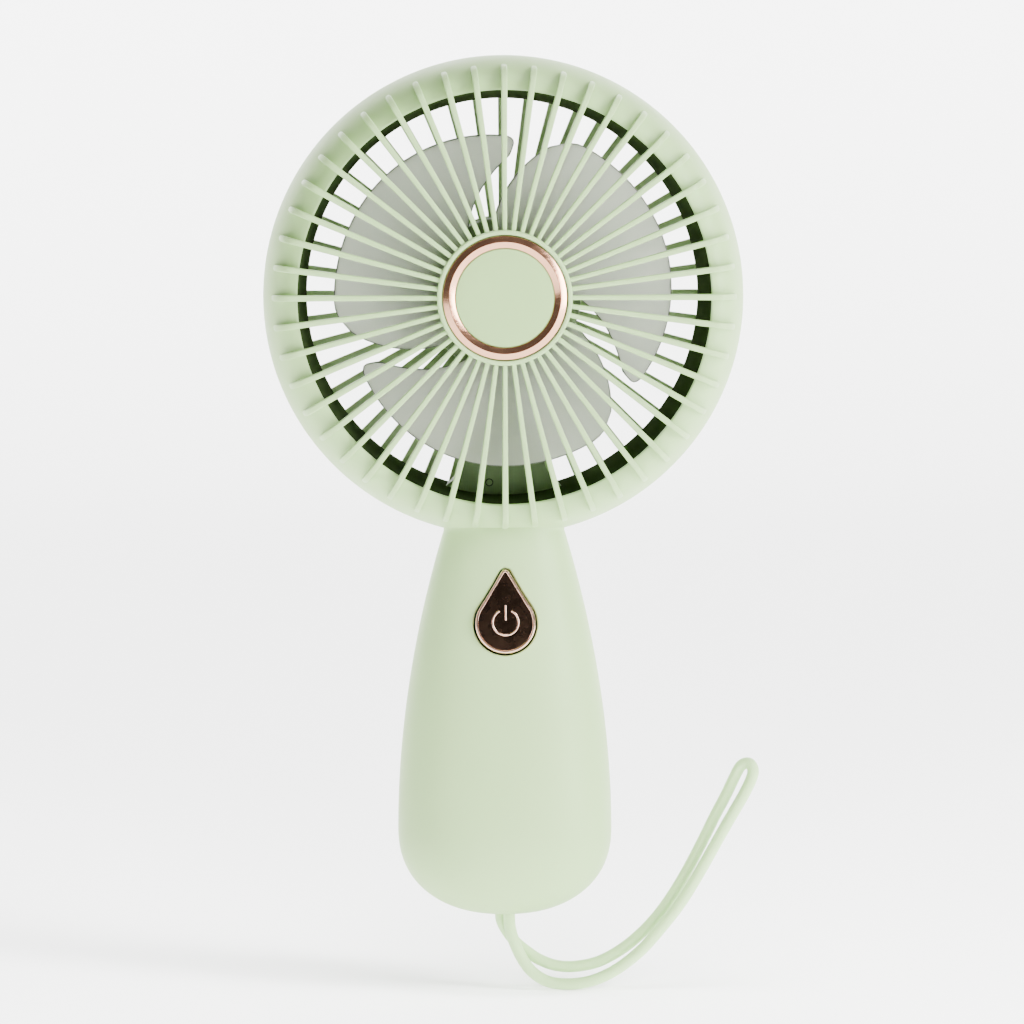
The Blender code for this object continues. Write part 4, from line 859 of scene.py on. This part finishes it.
CAMERA_DISTANCE = 1.5          # metres
CAMERA_AIM = (1.85, 0, 52.9)   # millimetres
CAMERA_AZIMUTH = -1.3          # degrees
CAMERA_ELEVATION = 3.9
CAMERA_ROLL = -0.15
FRAME_WIDTH = 1024 * 0.23      # millimetres seen at the object
SENSOR_WIDTH = 36

FLOOR_FRONT = -1.2             # metres, as all of the stage
FLOOR_REAR = 1.6
CURVE_RADIUS = 0.8
PAPER_TOP = 3.5
PAPER_HALF_WIDTH = 4
WORLD_STRENGTH = 0.2
LIGHT_TARGET = (0, 0, 0.06)


def add_camera():
    data = bpy.data.cameras.new("camera")
    camera = bpy.data.objects.new("camera", data)
    bpy.context.collection.objects.link(camera)
    aim = Vector(CAMERA_AIM) * MM
    azimuth, elevation = math.radians(CAMERA_AZIMUTH), math.radians(CAMERA_ELEVATION)
    back = Vector((math.sin(azimuth) * math.cos(elevation), -math.cos(azimuth) * math.cos(elevation),
                   math.sin(elevation)))
    camera.location = aim + back * CAMERA_DISTANCE
    camera.rotation_euler = (-back).to_track_quat("-Z", "Y").to_euler()
    camera.rotation_euler.rotate_axis("Z", math.radians(CAMERA_ROLL))
    data.sensor_width = SENSOR_WIDTH
    data.lens = SENSOR_WIDTH * CAMERA_DISTANCE / (FRAME_WIDTH * MM)
    data.clip_start = 0.05
    data.clip_end = 20
    bpy.context.scene.camera = camera


def add_light(name, kind, place, target, power):
    data = bpy.data.lights.new(name, kind)
    data.energy = power
    item = bpy.data.objects.new(name, data)
    bpy.context.collection.objects.link(item)
    item.location = place
    item.rotation_euler = (Vector(place) - Vector(target)).to_track_quat("Z", "Y").to_euler()
    return item


def add_area(name, place, target, size, power):
    item = add_light(name, "AREA", place, target, power)
    item.data.shape = "RECTANGLE"
    item.data.size, item.data.size_y = size


def add_paper_light(name, place, power, angle, paper):
    """A broad sun linked to the paper alone, so it adds no direct light to the object."""
    item = add_light(name, "SUN", place, (0, 0, 0), power)
    item.data.angle = math.radians(angle)
    item.light_linking.receiver_collection = paper


def sweep_profile():
    """Floor, curve and backdrop of the paper, as y and height above the floor."""
    curve = []
    for degrees in range(6, 91, 6):
        a = math.radians(degrees)
        curve.append((FLOOR_REAR + CURVE_RADIUS * math.sin(a), CURVE_RADIUS - CURVE_RADIUS * math.cos(a)))
    return [(FLOOR_FRONT, 0.0), (FLOOR_REAR, 0.0)] + curve + [(FLOOR_REAR + CURVE_RADIUS, PAPER_TOP)]


def add_stage():
    """Pale floor that curves up into a backdrop, and soft studio light."""
    floor_z = height(-16.3 - LANYARD_R - 0.1) * MM
    bm = bmesh.new()
    sides = (-PAPER_HALF_WIDTH, PAPER_HALF_WIDTH)
    rings = [[bm.verts.new((x, y, floor_z + z)) for x in sides] for y, z in sweep_profile()]
    for a, b in zip(rings, rings[1:]):
        bm.faces.new((a[0], a[1], b[1], b[0]))
    mesh = bpy.data.meshes.new("backdrop")
    bm.to_mesh(mesh)
    bm.free()
    mesh.shade_smooth()
    item = bpy.data.objects.new("backdrop", mesh)
    bpy.context.collection.objects.link(item)
    paper = Look("paper", (0.95, 0.95, 0.95), 0.9)
    paper.mottle(3, (0.94, 0.94, 0.94))
    paper.set("Specular IOR Level", 0.1)
    mesh.materials.append(paper.material)
    world = bpy.data.worlds.new("studio")
    world.use_nodes = True
    world.node_tree.nodes["Background"].inputs["Color"].default_value = (1, 1, 1, 1)
    world.node_tree.nodes["Background"].inputs["Strength"].default_value = WORLD_STRENGTH
    bpy.context.scene.world = world
    add_area("key", (0.95, -0.7, 0.45), LIGHT_TARGET, (0.35, 1.1), 42)
    add_area("rim_left", (-0.9, -0.05, 0.1), LIGHT_TARGET, (0.25, 1.2), 3)
    add_area("top", (0.1, -0.35, 1.0), LIGHT_TARGET, (0.5, 0.4), 6)
    lit_paper = bpy.data.collections.new("lit_paper")
    lit_paper.objects.link(item)
    add_paper_light("floor_light", (0.0, -0.1, 1.0), 4, 20, lit_paper)
    add_paper_light("wall_light", (0.0, -1.0, 0.15), 17, 35, lit_paper)


def build_head(looks):
    dress(front_ring("grille_ring"), looks["shell"], "body", ["front_grille"])
    dress(front_ribs("grille_ribs"), looks["rib"], "body")
    dress(hub_cup("grille_cup"), looks["rib"], "body")
    dress(badge_ring("badge_bezel"), looks["rose"], "body", ["badge_ring"])
    dress(badge_disc("badge_plate"), looks["disc"], "body", ["badge_disc"])
    # Painted shade: the duct wall, motor pod, strut and dimple take dark greens that stand in for the shade
    # inside the duct.
    dress(duct("duct_wall"), looks["duct"], "body", ["motor_carrier"])
    dress(motor_pod("motor_pod"), looks["strut"], "body")
    dress(strut("motor_strut"), looks["strut"], "body")
    dress(dimple("strut_dimple"), looks["duct"], "body")
    dress(rear_grille("back_grille"), looks["rib"], "body", ["rear_grille"])
    ring = rear_ring("head_rear_ring")
    dress(ring, looks["shell"], "body", ["rear_body"])
    dress(impeller_hub("fan_hub"), looks["blade"], "fan", ["impeller"])
    for k in range(3):
        degrees = BLADE_ANGLE + 120 * k
        dress(blade(f"fan_blade_{k + 1}", degrees), looks["blade"], "fan")
        # Painted shade: a dark tube traces each blade's edge.
        dress(blade_edge_shade_line(f"fan_blade_edge_{k + 1}", degrees), looks["edge"], "fan")


def build_handle(looks):
    front = handle_half("handle_front_shell", -1, 91.5)
    bm = bmesh.new()
    add_loft(bm, [[(x, y, w) for x, y in drop_outline(0.7)] for w in (-6, 6)])
    cut(front, new_object("hole", bm, BUTTON))
    dress(front, looks["shell"], "body", ["handle_front"])
    rear = handle_half("handle_rear_shell", 1, 91.5)
    bm = bmesh.new()
    add_loft(bm, [[(x, y, height(USB_HEIGHT) + z) for x, z in slot_outline(10.4, 4.6)] for y in (5, 30)])
    cut(rear, new_object("hole", bm))
    dress(rear, looks["shell"], "body")
    dress(button_well("button_recess"), looks["shell"], "body")
    dress(usb_bezel("port_edge", height(USB_HEIGHT)), looks["shell"], "body")
    dress(button_face("button_plate"), looks["brown"], "button", ["button_cap"])
    dress(button_rim("button_rim"), looks["mark"], "button")
    centre = (0, -2.5)
    ringed = [(centre[0] + x, centre[1] + y, 0.62) for x, y in arc((0, 0), 2.95, 118, 422, 40)]
    dress(tube("power_ring", ringed, 0.28, BUTTON), looks["mark"], "button")
    stem = [(0, centre[1] + 0.4 + 0.35 * i, 0.62) for i in range(11)]
    dress(tube("power_stem", stem, 0.28, BUTTON), looks["mark"], "button")


def build_lanyard(looks):
    route = [(x, y, height(h)) for x, y, h in LANYARD]
    points = smooth(route, 5)
    strap = tube("wrist_loop", points, LANYARD_R, resolution=6)
    dress(strap, looks["silicone"], "body", ["lanyard_loop"])


def build_details(looks):
    for k, degrees in enumerate((90, 210, 330), 1):
        x, v = polar(51.2, degrees)
        matrix = HEAD @ Matrix.Translation((x * MM, v * MM, -5.3 * MM)) @ Matrix.Rotation(math.pi, 4, "X")
        piece = cross_screw(f"ring_screw_{k}", matrix, 10.5)
        dress(piece, looks["steel"], "body", [f"head_screw_{k}"])
    pairs = ((11.2, 80.0, 3.0), (14.5, 12.0, 4.5))
    places = [(side * x, h, floor) for x, h, floor in pairs for side in (-1, 1)]
    for k, (x, h, floor) in enumerate(places, 1):
        matrix = (Matrix.Translation((x * MM, (floor + 0.3) * MM, height(h) * MM))
                  @ Matrix.Rotation(-math.pi / 2, 4, "X"))
        piece = cross_screw(f"handle_screw_{k}", matrix, floor + 4.0)
        dress(piece, looks["steel"], "body", [f"shell_screw_{k}"])
    mouth = half_depth(USB_HEIGHT) - 1.4
    shell = usb_shell("usb_shell", mouth, 7.4, height(USB_HEIGHT))
    dress(shell, looks["steel"], "body", ["usb_c_socket"])


# CAD nodes shown as they are, by the look they are painted with.
KEPT = {
    "shell": ["lanyard_anchor"],
    "steel": ["motor_shaft", "motor_can", "motor_screw_1", "motor_screw_2", "pcb_screw_1", "pcb_screw_2",
              "cradle_screw_1", "cradle_screw_2", "battery_tab_pos", "battery_tab_neg"],
    "winding": ["rotor_core"], "magnet": ["motor_magnet"], "brass": ["motor_bush"],
    "black": ["motor_end_cap", "switch_body", "usb_tongue", "battery_cradle"],
    "white": ["switch_plunger", "charge_led"], "board": ["main_pcb", "usb_board"], "wrap": ["battery_cell"],
    "wire_red": ["motor_wire_pos", "battery_wire_pos"],
    "wire_black": ["motor_wire_neg", "battery_wire_neg"], "lens": ["charge_lens"],
}


def paint_kept(looks):
    for look, names in KEPT.items():
        for name in names:
            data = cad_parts[name].data
            data.materials.clear()
            data.materials.append(looks[look])


def main():
    add_camera()
    looks = materials()
    build_lanyard(looks)
    build_head(looks)
    build_handle(looks)
    build_details(looks)
    paint_kept(looks)
    add_stage()


main()
